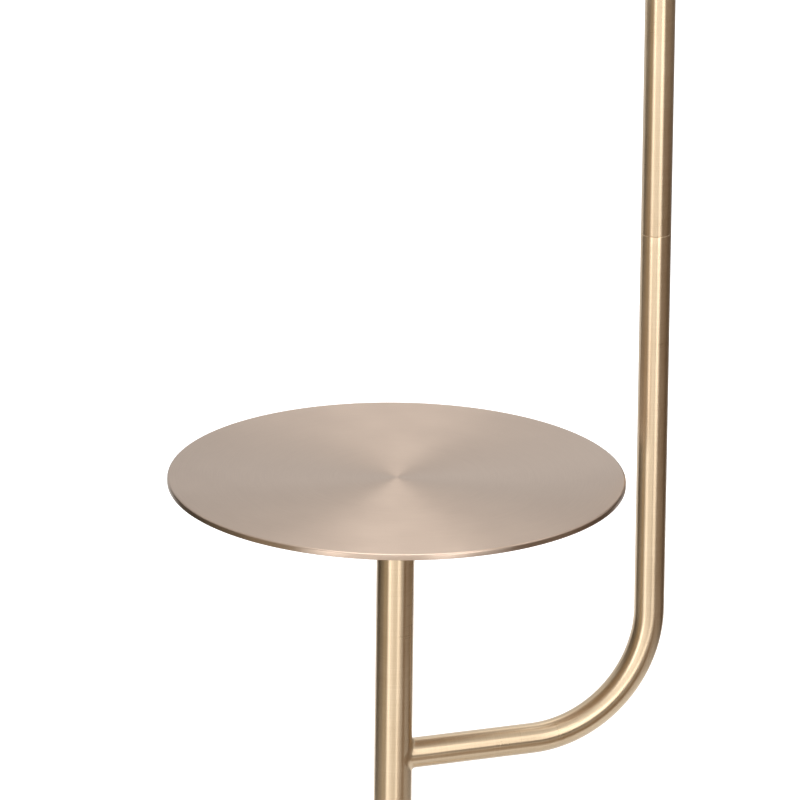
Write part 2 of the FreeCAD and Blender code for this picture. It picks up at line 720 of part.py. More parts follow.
def is_root(edge, level, limit):
    """True for the edges where the arm's outside meets the stem's outside."""
    for vertex_at in (0.1, 0.5, 0.9):
        first, last = edge.ParameterRange
        point = edge.valueAt(first + (last - first) * vertex_at)
        from_stem = math.hypot(point.x, point.y)
        from_arm = math.hypot(point.y, point.z - level)
        if abs(from_stem - value("stem_dia / 2")) > 0.01 or point.x < 0:
            return False
        if abs(from_arm - limit / 2) > 0.01:
            return False
    return True


def is_end(edge, level, diameter):
    """True for the outer edge of the arm's upper end."""
    flat = edge.BoundBox.ZLength < 0.01
    return flat and abs(edge.BoundBox.ZMin - level) < 0.01 and edge.BoundBox.XLength > diameter - 0.01


arm = document.addObject("Part::Feature", "arm_tube")
arm.Label = "arm_tube"
arm.Shape = brazed_arm()
parts["arm_tube"] = arm

parts["arm_top_plug"] = in_stem_or_pole(
    "arm_top_plug", pole_bore, "nipple_dia", "arm_reach", f"{seam} - plug_length"
)
parts["pole_bottom_plug"] = in_stem_or_pole(
    "pole_bottom_plug", pole_bore, "nipple_dia", "arm_reach", seam
)
parts["pole_nipple"] = turned(
    "pole_nipple",
    ring_section("nipple_dia", "nipple_bore", "-nipple_grip", "nipple_grip"),
    "arm_reach",
    seam,
)
parts["pole_tube"] = turned(
    "pole_tube",
    [
        (f"{pole_bore} / 2", "0"),
        ("pole_dia / 2", "0", "seam_round"),
        ("pole_dia / 2", "pole_length"),
        (f"{pole_bore} / 2", "pole_length"),
    ],
    "arm_reach",
    seam,
)
parts["pole_top_plug"] = in_stem_or_pole(
    "pole_top_plug", pole_bore, "nipple_dia", "arm_reach", f"{pole_top} - plug_length"
)

# The turned neck between the pole and the lampholder.
parts["pole_neck"] = turned(
    "pole_neck",
    [
        ("nipple_dia / 2 + press", "0"),
        ("pole_dia / 2 + neck_ledge", "0"),
        ("pole_dia / 2 + neck_ledge", "neck_height / 5"),
        ("neck_waist / 2", "neck_height / 3", "neck_height / 9"),
        ("neck_waist / 2", "neck_height * 0.6", "neck_height / 7"),
        ("neck_dia / 2", "neck_height * 0.85"),
        ("neck_dia / 2", "neck_height"),
        ("nipple_dia / 2 + press", "neck_height"),
    ],
    "arm_reach",
    pole_top,
)

# ---- The lampholder -------------------------------------------------------------------

socket_nipple_foot = f"({pole_top} - nipple_grip)"
socket_nut_foot = f"({holder_foot} + holder_sheet)"
socket_nipple_top = f"({socket_nut_foot} + nut_height + nipple_proud)"
socket_nipple_length = f"({socket_nipple_top} - {socket_nipple_foot})"
parts["socket_nipple"] = turned(
    "socket_nipple",
    ring_section("nipple_dia", "nipple_bore", "0", socket_nipple_length),
    "arm_reach",
    socket_nipple_foot,
)
parts["socket_nut"] = hex_nut(
    "socket_nut",
    "nut_flats",
    "nut_height",
    "nipple_dia + 2 * press",
    "arm_reach",
    socket_nut_foot,
)

# The cap: a drawn cup with a flat bottom, clamped by the nut.
cap_radius = "(cap_dia / 2)"
cap_floor_inner = f"({cap_radius} - cap_slant_width - holder_sheet / 2)"
parts["socket_cap"] = turned(
    "socket_cap",
    [
        ("nipple_dia / 2 + loose", "0"),
        (f"{cap_radius} - cap_slant_width", "0", "cap_floor_round"),
        (cap_radius, "cap_slant_height", "cap_wall_round"),
        (cap_radius, "cap_height"),
        (f"{cap_radius} - holder_sheet", "cap_height"),
        (f"{cap_radius} - holder_sheet", "cap_slant_height", "cap_wall_round - holder_sheet"),
        (cap_floor_inner, "holder_sheet", "cap_floor_round - holder_sheet"),
        ("nipple_dia / 2 + loose", "holder_sheet"),
    ],
    "arm_reach",
    holder_foot,
)

# The shell: a drawn tube with a rolled mouth and a round hole for the switch's shaft.
shell_foot = f"({holder_foot} + cap_height - shell_entry)"
key_level = f"({switch_foot} + key_rise)"
bead_radius = "(shell_dia / 2 + shell_bead)"
shell = new_body("socket_shell", "arm_reach", shell_foot)
revolve(
    shell,
    "shell_drawing",
    [
        ("shell_dia / 2 - holder_sheet", "0"),
        ("shell_dia / 2", "0"),
        ("shell_dia / 2", "shell_height - shell_bead_height"),
        (bead_radius, "shell_height - shell_bead_height", "shell_bead / 3"),
        (bead_radius, "shell_height", "shell_bead * 0.75"),
        ("shell_dia / 2 - holder_sheet", "shell_height"),
    ],
)
key_hole = [("key_dia + 4 * loose", "0", f"{key_level} - {shell_foot}")]
drill(shell, "shell_key_hole", "XZ_Plane", key_hole, "shell_dia", True)
parts["socket_shell"] = shell

# The paper liner keeps the shell away from the live pieces.
liner_radius = "(shell_dia / 2 - holder_sheet - press)"
liner_length = "(shell_height - shell_bead_height / 2)"
liner_bore = f"2 * ({liner_radius} - liner_paper)"
liner = new_body("socket_liner", "arm_reach", shell_foot)
revolve(liner, "liner_tube", ring_section(f"2 * {liner_radius}", liner_bore, "0", liner_length))
drill(liner, "liner_key_hole", "XZ_Plane", key_hole, "shell_dia", True)
parts["socket_liner"] = liner

# The moulded body holds the switch, the middle contact and the threaded shell.
body_radius = f"({liner_radius} - liner_paper - press)"
moulding = new_body("switch_body", "arm_reach", switch_foot)
revolve(
    moulding,
    "switch_moulding",
    [
        ("0", "0"),
        (body_radius, "0"),
        (body_radius, "switch_height"),
        ("0", "switch_height"),
    ],
)
key_bore = [("key_dia + 2 * turning", "0", "key_rise")]
drill(moulding, "key_bore", "XZ_Plane", key_bore, "shell_dia", True)
parts["switch_body"] = moulding

# The threaded shell stands on the moulded body, with the middle contact inside it.
screw_radius = "(screw_dia / 2)"
parts["screw_shell"] = turned(
    "screw_shell",
    [
        ("contact_dia / 2 + contact_gap", "0"),
        (screw_radius, "0"),
        (screw_radius, "screw_height"),
        (f"{screw_radius} - screw_sheet", "screw_height"),
        (f"{screw_radius} - screw_sheet", "screw_sheet"),
        ("contact_dia / 2 + contact_gap", "screw_sheet"),
    ],
    "arm_reach",
    switch_top,
)
parts["centre_contact"] = turned(
    "centre_contact",
    [
        ("0", "0"),
        ("contact_dia / 2", "0"),
        ("contact_dia / 2", "contact_height", "contact_round"),
        ("0", "contact_height"),
    ],
    "arm_reach",
    switch_top,
)

# The switch turns about a shaft that points to the front; the knob is pressed on it.
key_start = "(shell_dia / 2 - key_entry)"
shaft = new_body("switch_shaft", "arm_reach", key_level)
shaft_circle = new_sketch(shaft, "XZ_Plane", "shaft_circle", key_start)
draw_circle(shaft_circle, "key_dia")
pad(shaft, "shaft_rod", shaft_circle, "key_length")
parts["switch_shaft"] = shaft

knob_start = f"({key_start} + key_length - knob_length + knob_end)"
knob_bore_end = f"({knob_start} + knob_length - knob_end + press)"
knob = new_body("switch_knob", "arm_reach", key_level, (FreeCAD.Vector(1, 0, 0), 90))
revolve(
    knob,
    "knob_turning",
    [
        ("key_dia / 2 + press", knob_start),
        ("knob_foot / 2", knob_start),
        ("knob_dia / 2", f"{knob_start} + knob_foot_length", "knob_end"),
        ("knob_dia / 2", f"{knob_start} + knob_length", "knob_end / 2"),
        ("0", f"{knob_start} + knob_length"),
        ("0", knob_bore_end),
        ("key_dia / 2 + press", knob_bore_end),
    ],
)
flute = [("flute_dia", "knob_dia / 2 + flute_dia / 2 - flute_depth", "0")]
flute_level = f"{knob_start} + knob_foot_length"
flute_cut = drill(knob, "knob_flute", "XY_Plane", flute, "knob_length", True, flute_level)
circled(knob, "knob_flutes", flute_cut, KNOB_FLUTES)
parts["switch_knob"] = knob

# ---- The harp -------------------------------------------------------------------------

# The saddle: a strip folded up at both ends, where it narrows to a tongue.
saddle = new_body("harp_saddle", "arm_reach", saddle_foot)
half_span = "(saddle_span / 2)"
wing_out = f"({half_span} + saddle_sheet / 2)"
wing_in = f"({half_span} - saddle_sheet / 2)"
tongue_top = "(saddle_shoulder + tongue_height)"
saddle_outline = new_sketch(saddle, "XZ_Plane", "saddle_outline")
draw(
    saddle_outline,
    [
        (f"-{wing_out}", tongue_top),
        (f"-{wing_out}", "0", "2 * saddle_sheet"),
        (wing_out, "0", "2 * saddle_sheet"),
        (wing_out, tongue_top),
        (wing_in, tongue_top),
        (wing_in, "saddle_sheet", "saddle_sheet"),
        (f"-{wing_in}", "saddle_sheet", "saddle_sheet"),
        (f"-{wing_in}", tongue_top),
    ],
)
pad(saddle, "saddle_strip", saddle_outline, "saddle_width", middle=True)
shoulders = new_sketch(saddle, "YZ_Plane", "shoulder_outline")
for side in ("-", ""):
    draw(
        shoulders,
        [
            (f"{side}tongue_width / 2", "saddle_shoulder"),
            (f"{side}saddle_width", "saddle_shoulder"),
            (f"{side}saddle_width", f"{tongue_top} + tongue_height"),
            (f"{side}tongue_width / 2", f"{tongue_top} + tongue_height"),
        ],
    )
shoulder_cut = saddle.newObject("PartDesign::Pocket", "shoulders")
shoulder_cut.Profile = shoulders
shoulder_cut.Type = "ThroughAll"
shoulder_cut.Midplane = True
drill(saddle, "saddle_hole", "XY_Plane", [("nipple_dia + 2 * loose",)], "saddle_sheet", True)
parts["harp_saddle"] = saddle

# The harp: one bent wire with a seat and a threaded post welded on its top.
harp = new_body("harp", "arm_reach", harp_foot_level)
half_width = "(harp_width / 2)"
harp_path = [
    (f"-{half_span}", "0"),
    (f"-{half_span}", "harp_foot", "harp_flare_radius"),
    (f"-{half_width}", "harp_foot + harp_flare", "harp_flare_radius"),
    (f"-{half_width}", "harp_height", "harp_arch_radius"),
    (half_width, "harp_height", "harp_arch_radius"),
    (half_width, "harp_foot + harp_flare", "harp_flare_radius"),
    (half_span, "harp_foot", "harp_flare_radius"),
    (half_span, "0"),
]
bent_rod(harp, "harp_wire_bend", harp_path, "harp_wire")
revolve(
    harp,
    "seat_and_post",
    [
        ("0", "harp_height"),
        ("harp_wire / 2", "harp_height"),
        ("seat_dia / 2", "harp_height + seat_height / 2"),
        ("seat_dia / 2", "harp_height + seat_height"),
        ("post_dia / 2", "harp_height + seat_height"),
        ("post_dia / 2", "harp_height + seat_height + post_length"),
        ("0", "harp_height + seat_height + post_length"),
    ],
)
parts["harp"] = harp

# The two sleeves slide up the legs to set the harp free.
for side, label in (("-", "harp_sleeve_left"), ("", "harp_sleeve_right")):
    parts[label] = turned(
        label,
        [
            ("sleeve_bore / 2", "0"),
            ("sleeve_dia / 2", "0"),
            ("sleeve_dia / 2", "sleeve_length", "1"),
            ("sleeve_bore / 2", "sleeve_length"),
        ],
        f"arm_reach {side or '+'} {half_span}",
        f"{saddle_foot} + saddle_shoulder",
    )

# ---- The shade ------------------------------------------------------------------------

# The spider: top ring, three spokes and hub, welded into one piece.
spider = new_body("shade_spider", "arm_reach", hub_foot)
lining = "(linen + backing + 3 * press)"
top_ring_radius = f"(shade_top_dia / 2 - {lining} - ring_wire / 2)"
spoke_level = "(hub_sheet / 2)"
ring_circle = new_sketch(spider, "XZ_Plane", "ring_circle")
draw_circle(ring_circle, "ring_wire", top_ring_radius, "spider_drop")
ring_turn = spider.newObject("PartDesign::Revolution", "top_ring")
ring_turn.Profile = ring_circle
ring_turn.ReferenceAxis = (ring_circle, ["V_Axis"])
ring_turn.Angle = 360
spoke_path = [
    ("0", spoke_level),
    (f"{top_ring_radius} - spider_knee", spoke_level, "spider_bend"),
    (top_ring_radius, "spider_drop"),
]
spoke = bent_rod(spider, "spoke", spoke_path, "spider_wire", start_plane="YZ_Plane")
circled(spider, "spokes", spoke, SPOKES)
revolve(
    spider,
    "hub",
    ring_section("hub_dia", "post_dia + 2 * loose", "0", "hub_sheet + spider_wire / 2"),
)
drill(spider, "hub_hole", "XY_Plane", [("post_dia + 2 * loose",)], "hub_dia", True, "-hub_dia / 2")
below_hub = new_sketch(spider, "XY_Plane", "below_hub", "-spider_wire")
draw_circle(below_hub, "hub_dia * 2")
hub_face = spider.newObject("PartDesign::Pocket", "hub_face")
hub_face.Profile = below_hub
hub_face.Reversed = True
hub_face.setExpression("Length", linked("spider_wire"))
parts["shade_spider"] = spider

# The bottom ring, the stiff backing and the linen, which is turned in over both rings.
slope = "((shade_bottom_dia - shade_top_dia) / 2 / shade_height)"
ring_inset = f"({lining} + (linen + press + ring_wire) * {slope})"
bottom_ring_radius = f"(shade_bottom_dia / 2 - {ring_inset} - ring_wire / 2)"
bottom_ring = new_body("shade_bottom_ring", "arm_reach", shade_foot)
bottom_circle = new_sketch(bottom_ring, "XZ_Plane", "bottom_ring_circle")
draw_circle(bottom_circle, "ring_wire", bottom_ring_radius, "linen + press + ring_wire / 2")
bottom_turn = bottom_ring.newObject("PartDesign::Revolution", "bottom_ring_turn")
bottom_turn.Profile = bottom_circle
bottom_turn.ReferenceAxis = (bottom_circle, ["V_Axis"])
bottom_turn.Angle = 360
parts["shade_bottom_ring"] = bottom_ring

turn_in = "(linen + press)"
backing_low = f"(shade_bottom_dia / 2 - linen - press - {turn_in} * {slope})"
backing_high = f"(shade_top_dia / 2 - linen - press + {turn_in} * {slope})"
parts["shade_backing"] = turned(
    "shade_backing",
    [
        (f"{backing_low} - backing", turn_in),
        (backing_low, turn_in),
        (backing_high, f"shade_height - {turn_in}"),
        (f"{backing_high} - backing", f"shade_height - {turn_in}"),
    ],
    "arm_reach",
    shade_foot,
)
parts["shade_linen"] = turned(
    "shade_linen",
    [
        ("shade_bottom_dia / 2 - hem", "0"),
        ("shade_bottom_dia / 2", "0"),
        ("shade_top_dia / 2", "shade_height"),
        ("shade_top_dia / 2 - hem", "shade_height"),
        ("shade_top_dia / 2 - hem", "shade_height - linen"),
        (f"shade_top_dia / 2 - linen + linen * {slope}", "shade_height - linen"),
        (f"shade_bottom_dia / 2 - linen - linen * {slope}", "linen"),
        ("shade_bottom_dia / 2 - hem", "linen"),
    ],
    "arm_reach",
    shade_foot,
)

# The finial screws down on the hub and holds the shade.
hub_top = f"({hub_foot} + hub_sheet + spider_wire / 2)"
parts["finial"] = turned(
    "finial",
    [
        ("post_dia / 2 + turning", "0"),
        ("finial_foot / 2", "0"),
        ("finial_foot / 2", "finial_foot_height"),
        ("finial_neck / 2", "2 * finial_foot_height", "finial_foot_height / 2"),
        ("finial_neck / 2", "finial_neck_height"),
        ("finial_ball / 2", "finial_neck_height + finial_ball_low", "finial_ball_low"),
        ("finial_ball / 2", "finial_height - finial_ball_high", "finial_ball_high"),
        ("finial_tip / 2", "finial_height"),
        ("0", "finial_height"),
        ("0", "post_length"),
        ("post_dia / 2 + turning", "post_length"),
    ],
    "arm_reach",
    hub_top,
)

# ---- The bulb -------------------------------------------------------------------------

bulb_foot = f"({switch_top} + contact_height)"
cap_outer = "(bulb_cap_dia / 2)"
parts["bulb_cap"] = turned(
    "bulb_cap",
    [
        ("0", "0"),
        ("contact_dia / 2", "0"),
        (cap_outer, "bulb_cap_cone"),
        (cap_outer, "bulb_cap_height"),
        (f"{cap_outer} - bulb_cap_sheet", "bulb_cap_height"),
        (f"{cap_outer} - bulb_cap_sheet", "bulb_cap_cone + bulb_cap_sheet"),
        ("contact_dia / 2", "bulb_cap_sheet"),
        ("0", "bulb_cap_sheet"),
    ],
    "arm_reach",
    bulb_foot,
)
glass_foot = f"({bulb_foot} + bulb_cap_height - glass_entry)"
neck_out = f"({cap_outer} - bulb_cap_sheet - press)"
glass_top = "(bulb_length + glass_entry)"


def glass_line(inset):
    """The bulb's outline from its neck up to its top, drawn in by the inset."""
    return [
        (f"{neck_out} - {inset}", "0"),
        (f"{neck_out} - {inset}", "glass_neck", f"glass_neck_round + {inset}"),
        (f"bulb_dia / 2 - {inset}", "glass_waist", "glass_waist_round"),
        (f"bulb_dia / 2 - {inset}", f"{glass_top} - {inset}", f"glass_top_round - {inset}"),
        ("0", f"{glass_top} - {inset}"),
    ]


parts["bulb_glass"] = turned(
    "bulb_glass",
    glass_line("0") + glass_line("bulb_glass_wall")[::-1],
    "arm_reach",
    glass_foot,
)

# The light source stands on a glass rod inside the bulb: thin rods on a round plate.
mount_radius = f"({neck_out} - bulb_glass_wall - press)"
mount_plate_top = "(mount_height + mount_plate_thickness)"
source = new_body("bulb_filament", "arm_reach", glass_foot)
revolve(
    source,
    "filament_stem",
    [
        ("0", "0"),
        (mount_radius, "0"),
        (mount_radius, "mount_rim"),
        ("mount_dia / 2", "mount_flare", "mount_dia / 3"),
        ("mount_dia / 2", "mount_height"),
        ("mount_plate_dia / 2", "mount_height"),
        ("mount_plate_dia / 2", mount_plate_top),
        ("0", mount_plate_top),
    ],
)
rod_foot = "mount_height + mount_plate_thickness / 2"
rod_circle = new_sketch(source, "XY_Plane", "filament_section", rod_foot)
draw_circle(rod_circle, "filament_dia", "filament_circle / 2", "0")
rod_pad = pad(source, "filament_rod", rod_circle, "filament_length")
circled(source, "filament_rods", rod_pad, FILAMENTS)
parts["bulb_filament"] = source

# ---- The lead inside the lamp ---------------------------------------------------------

# It leaves the terminal block, turns up through the base's threaded tube, follows the stem,
# the arm and the pole on their axes, and ends under the moulded body in the lampholder.
lead = new_body("inner_lead", "-block_offset + block_length / 2", "0")
lead_start = "(block_offset - block_length / 2)"
lead_path = [
    ("0", lead_foot_level),
    (lead_start, lead_foot_level, "lead_foot_radius"),
    (lead_start, arm_axis, "lead_turn_radius"),
    (f"{lead_start} + arm_reach", arm_axis, "bend_radius"),
    (f"{lead_start} + arm_reach", switch_foot),
]
bent_rod(lead, "lead_run", lead_path, "lead_dia", start_plane="YZ_Plane")
parts["inner_lead"] = lead

# ---- Build, check and write -----------------------------------------------------------

document.recompute()
faults = []
for item in document.Objects:
    if "Invalid" in item.State or "Error" in item.State:
        faults.append(f"{item.Label}: {item.State}")
for label, item in parts.items():
    if item.Shape.isNull() or not item.Shape.isValid() or not item.Shape.Solids:
        faults.append(f"{label}: no valid solid")
if faults:
    raise RuntimeError("; ".join(faults))

os.makedirs("parts", exist_ok=True)
for label, item in parts.items():
    item.Shape.exportStep(f"parts/{label}.step")
    print(label, len(item.Shape.Solids), round(item.Shape.Volume / 1000, 3), "cm3")
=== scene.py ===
import math

import bmesh
import bpy
import numpy as np
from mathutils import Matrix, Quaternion, Vector


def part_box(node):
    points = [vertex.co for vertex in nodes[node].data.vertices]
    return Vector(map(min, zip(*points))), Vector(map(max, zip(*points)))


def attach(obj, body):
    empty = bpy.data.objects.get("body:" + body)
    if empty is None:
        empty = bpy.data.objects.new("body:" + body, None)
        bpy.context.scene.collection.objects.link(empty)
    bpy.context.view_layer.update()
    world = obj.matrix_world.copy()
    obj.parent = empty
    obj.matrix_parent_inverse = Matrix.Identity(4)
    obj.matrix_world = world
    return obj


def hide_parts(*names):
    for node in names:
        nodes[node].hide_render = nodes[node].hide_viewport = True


# A standing lamp with a round table: a weighted base, a stem with the table on its top, a
# J-shaped arm and pole beside it, and a drum shade. Metres; +Z is up and the arm is on +X.

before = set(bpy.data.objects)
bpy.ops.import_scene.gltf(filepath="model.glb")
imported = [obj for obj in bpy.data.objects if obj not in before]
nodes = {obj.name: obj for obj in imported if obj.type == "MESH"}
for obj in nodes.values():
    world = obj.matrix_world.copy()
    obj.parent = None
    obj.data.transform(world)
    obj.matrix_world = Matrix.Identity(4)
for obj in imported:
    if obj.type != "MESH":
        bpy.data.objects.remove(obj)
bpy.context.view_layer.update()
mm = 0.001

# ---- Base: pad and weight --------------------------------------------------------------
# A rubber disc glued under a cast-iron disc. Neither is seen while the lamp stands; the
# iron is left as it came out of the sand and the rubber is cut from plain sheet.


def colour(red, green, blue):
    """A colour as a shader wants it, from the 0 to 255 values seen on the piece: with s the
    share of 255, it is ((s + 0.055) / 1.055) ^ 2.4, or s / 12.92 near black."""
    share = np.array([red, green, blue]) / 255
    linear = np.where(share <= 0.04045, share / 12.92, ((share + 0.055) / 1.055) ** 2.4)
    return (*(float(part) for part in linear), 1.0)


def socket(group, name, kind, way, start=None):
    """Adds a named socket to a node group; kind is Float, Color or Vector."""
    made = group.interface.new_socket(name, in_out=way, socket_type=f"NodeSocket{kind}")
    if start is not None:
        made.default_value = start


def wire(tree, source, target):
    """Links a socket to an input, or sets the input to a plain value."""
    if isinstance(source, bpy.types.NodeSocket):
        tree.links.new(source, target)
    else:
        target.default_value = source


def add(tree, kind, inputs=(), **settings):
    """Adds a node, sets its properties, and wires or sets its inputs by name or place."""
    node = tree.nodes.new(kind)
    for key, setting in settings.items():
        setattr(node, key, setting)
    for place, source in dict(inputs).items():
        wire(tree, source, node.inputs[place])
    return node


def arithmetic(tree, operation, one, other=0.0):
    """One sum on one or two numbers or sockets."""
    return add(tree, "ShaderNodeMath", {0: one, 1: other}, operation=operation).outputs[0]


def mixed(tree, mask, low, high):
    """A blend from one colour to another by a mask."""
    inputs = {0: mask, 6: low, 7: high}
    return add(tree, "ShaderNodeMix", inputs, data_type="RGBA").outputs[2]


def spread(tree, mask, low, high, start=0.0, end=1.0):
    """A mask between start and end, stretched to run from low to high."""
    inputs = {"Value": mask, "From Min": start, "From Max": end, "To Min": low, "To Max": high}
    return add(tree, "ShaderNodeMapRange", inputs).outputs["Result"]


def noise(tree, place, scale, detail=2.0, roughness=0.5):
    """The value of a noise texture at a place."""
    inputs = {"Vector": place, "Scale": scale, "Detail": detail, "Roughness": roughness}
    return add(tree, "ShaderNodeTexNoise", inputs).outputs["Fac"]


def new_group(name, inputs, outputs):
    """An empty node group with named sockets; returns it with its two end nodes."""
    group = bpy.data.node_groups.new(name, "ShaderNodeTree")
    for title, kind, start in inputs:
        socket(group, title, kind, "INPUT", start)
    for title, kind in outputs:
        socket(group, title, kind, "OUTPUT")
    return group, group.nodes.new("NodeGroupInput").outputs, group.nodes.new("NodeGroupOutput").inputs


grey = (0.5, 0.5, 0.5, 1.0)
effect_outputs = [("Color", "Color"), ("Roughness", "Float"), ("Height", "Float")]
surface_grain, given, result = new_group(
    "surface_grain",
    [
        ("Place", "Vector", None),
        ("Light", "Color", grey),
        ("Dark", "Color", grey),
        ("Scale", "Float", 400.0),
        ("Smooth", "Float", 0.4),
        ("Rough", "Float", 0.6),
    ],
    effect_outputs,
)
clouds_to_specks = 0.08
cloud_scale = arithmetic(surface_grain, "MULTIPLY", given["Scale"], clouds_to_specks)
clouds = noise(surface_grain, given["Place"], cloud_scale, detail=3.0)
specks = noise(surface_grain, given["Place"], given["Scale"], detail=6.0)
blotches = arithmetic(surface_grain, "MULTIPLY", clouds, specks)
tones = spread(surface_grain, blotches, 0.0, 1.0, start=0.05, end=0.45)
wire(surface_grain, mixed(surface_grain, tones, given["Dark"], given["Light"]), result["Color"])
grain_gloss = spread(surface_grain, clouds, given["Smooth"], given["Rough"], start=0.3, end=0.7)
wire(surface_grain, grain_gloss, result["Roughness"])
wire(surface_grain, specks, result["Height"])


def bump(tree, shader, height, strength, depth):
    """Tilts the shader's normal by a height, depth being the relief in metres."""
    inputs = {"Height": height, "Strength": strength, "Distance": depth}
    wire(tree, add(tree, "ShaderNodeBump", inputs).outputs["Normal"], shader.inputs["Normal"])


def blank(name, **constants):
    """A new material, its tree and its shader, with plain numbers set on the shader."""
    material = bpy.data.materials.new(name)
    material.use_nodes = True
    shader = material.node_tree.nodes["Principled BSDF"]
    for key, setting in constants.items():
        shader.inputs[key.replace("_", " ")].default_value = setting
    return material, material.node_tree, shader


def grained(name, light, dark, scale, smooth, rough, relief, **constants):
    """One substance with its grain: rubber, castings, mouldings, paper, film, plating."""
    material, tree, shader = blank(name, **constants)
    place = add(tree, "ShaderNodeTexCoord").outputs["Object"]
    inputs = {"Place": place, "Light": light, "Dark": dark, "Scale": scale}
    inputs |= {"Smooth": smooth, "Rough": rough}
    grain = add(tree, "ShaderNodeGroup", node_tree=surface_grain)
    for title, source in inputs.items():
        wire(tree, source, grain.inputs[title])
    wire(tree, grain.outputs["Color"], shader.inputs["Base Color"])
    wire(tree, grain.outputs["Roughness"], shader.inputs["Roughness"])
    bump(tree, shader, grain.outputs["Height"], strength=0.5, depth=relief)
    return material


def dress(material, slot, *names):
    """Gives a finish to solids whose shape is right; slot is not used."""
    for name in names:
        nodes[name].data.materials.clear()
        nodes[name].data.materials.append(material)


pad_rubber = grained(
    "pad_rubber", colour(58, 57, 56), colour(40, 40, 40),
    scale=900, smooth=0.7, rough=0.9, relief=5e-5,
)
cast_iron = grained(
    "cast_iron", colour(104, 102, 99), colour(58, 57, 56),
    scale=300, smooth=0.45, rough=0.75, relief=2e-4, Metallic=0.6,
)
dress(pad_rubber, "pad_rubber", "base_pad")
dress(cast_iron, "cast_iron", "base_weight")

# ---- Base: fasteners and inlet ---------------------------------------------------------
# Zinc-plated tube, washer and nut draw the stem down on the cover. The supply lead comes
# in through a rubber grommet and ends in a white moulded terminal block.

zinc_plating = grained(
    "zinc_plating", colour(196, 198, 196), colour(160, 163, 163),
    scale=700, smooth=0.25, rough=0.42, relief=1e-5, Metallic=1.0,
)
grommet_rubber = grained(
    "grommet_rubber", colour(44, 43, 42), colour(28, 28, 28),
    scale=1200, smooth=0.5, rough=0.7, relief=2e-5,
)
white_moulding = grained(
    "white_moulding", colour(232, 229, 220), colour(222, 218, 207),
    scale=800, smooth=0.4, rough=0.52, relief=1e-5,
)
dress(zinc_plating, "zinc_steel", "base_nipple", "base_washer", "base_nut", "terminal_screws")
dress(grommet_rubber, "black_rubber", "cord_grommet")
dress(white_moulding, "white_moulding", "terminal_block")

# ---- Base cover and collar -------------------------------------------------------------
# The cover is spun from sheet brass over a former, brushed while it turns and lacquered.
# The collar is turned from bar in the same finish, so brush marks run round both.

brushing, given, result = new_group(
    "brushing",
    [
        ("Along", "Float", None),
        ("Place", "Vector", None),
        ("Light", "Color", grey),
        ("Dark", "Color", grey),
        ("Lines", "Float", 3000.0),
        ("Smooth", "Float", 0.2),
        ("Rough", "Float", 0.3),
    ],
    effect_outputs,
)
across_lines = arithmetic(brushing, "MULTIPLY", given["Along"], given["Lines"])
apart = add(brushing, "ShaderNodeSeparateXYZ", {0: given["Place"]}).outputs
round_scale, handling_scale = 40.0, 28.0
slow_x = arithmetic(brushing, "MULTIPLY", apart[0], round_scale)
slow_y = arithmetic(brushing, "MULTIPLY", apart[1], round_scale)
stretched = add(brushing, "ShaderNodeCombineXYZ", {0: across_lines, 1: slow_x, 2: slow_y})
lines = noise(brushing, stretched.outputs[0], 1.0, detail=3.0, roughness=0.6)
handling = noise(brushing, given["Place"], handling_scale, detail=4.0, roughness=0.55)
line_part = arithmetic(brushing, "MULTIPLY", lines, 0.6)
handling_part = arithmetic(brushing, "MULTIPLY", handling, 0.4)
toned = arithmetic(brushing, "ADD", line_part, handling_part)
brushed_tone = spread(brushing, toned, 0.0, 1.0, start=0.32, end=0.68)
wire(brushing, mixed(brushing, brushed_tone, given["Dark"], given["Light"]), result["Color"])
brushed_gloss = spread(brushing, toned, given["Smooth"], given["Rough"], start=0.32, end=0.68)
wire(brushing, brushed_gloss, result["Roughness"])
wire(brushing, lines, result["Height"])

brass_light, brass_dark = colour(216, 195, 166), colour(206, 183, 152)
brass_smooth, brass_rough, brass_stretch = 0.27, 0.32, 0.92
brush_lines, brush_relief = 2600, 1.5e-6


def turned_place(tree, centre_x):
    """For a piece turned about an upright axis: its distance from that axis plus its height,
    and the direction in which its highlights stretch, which is square to the brush marks
    and lies in the surface: (axis x radius) x normal."""
    place = add(tree, "ShaderNodeTexCoord").outputs
    inputs = {0: place["Object"], 1: (centre_x, 0, 0)}
    centred = add(tree, "ShaderNodeVectorMath", inputs, operation="SUBTRACT").outputs[0]
    flat = add(tree, "ShaderNodeVectorMath", {0: centred, 1: (1, 1, 0)}, operation="MULTIPLY")
    radius = add(tree, "ShaderNodeVectorMath", {0: flat.outputs[0]}, operation="LENGTH")
    height = add(tree, "ShaderNodeSeparateXYZ", {0: centred}).outputs[2]
    along = arithmetic(tree, "ADD", radius.outputs["Value"], height)
    inputs = {0: (0, 0, 1), 1: centred}
    round_it = add(tree, "ShaderNodeVectorMath", inputs, operation="CROSS_PRODUCT").outputs[0]
    inputs = {0: round_it, 1: add(tree, "ShaderNodeNewGeometry").outputs["Normal"]}
    square = add(tree, "ShaderNodeVectorMath", inputs, operation="CROSS_PRODUCT").outputs[0]
    return along, centred, square


def mapped_place(tree):
    """For a piece with its own map: the distance along it, its place, and the direction
    along it, in which its highlights stretch."""
    place = add(tree, "ShaderNodeTexCoord").outputs
    along = add(tree, "ShaderNodeSeparateXYZ", {0: place["UV"]}).outputs[0]
    tangent = add(tree, "ShaderNodeTangent", direction_type="UV_MAP", uv_map="metres")
    return along, place["Object"], tangent.outputs[0]


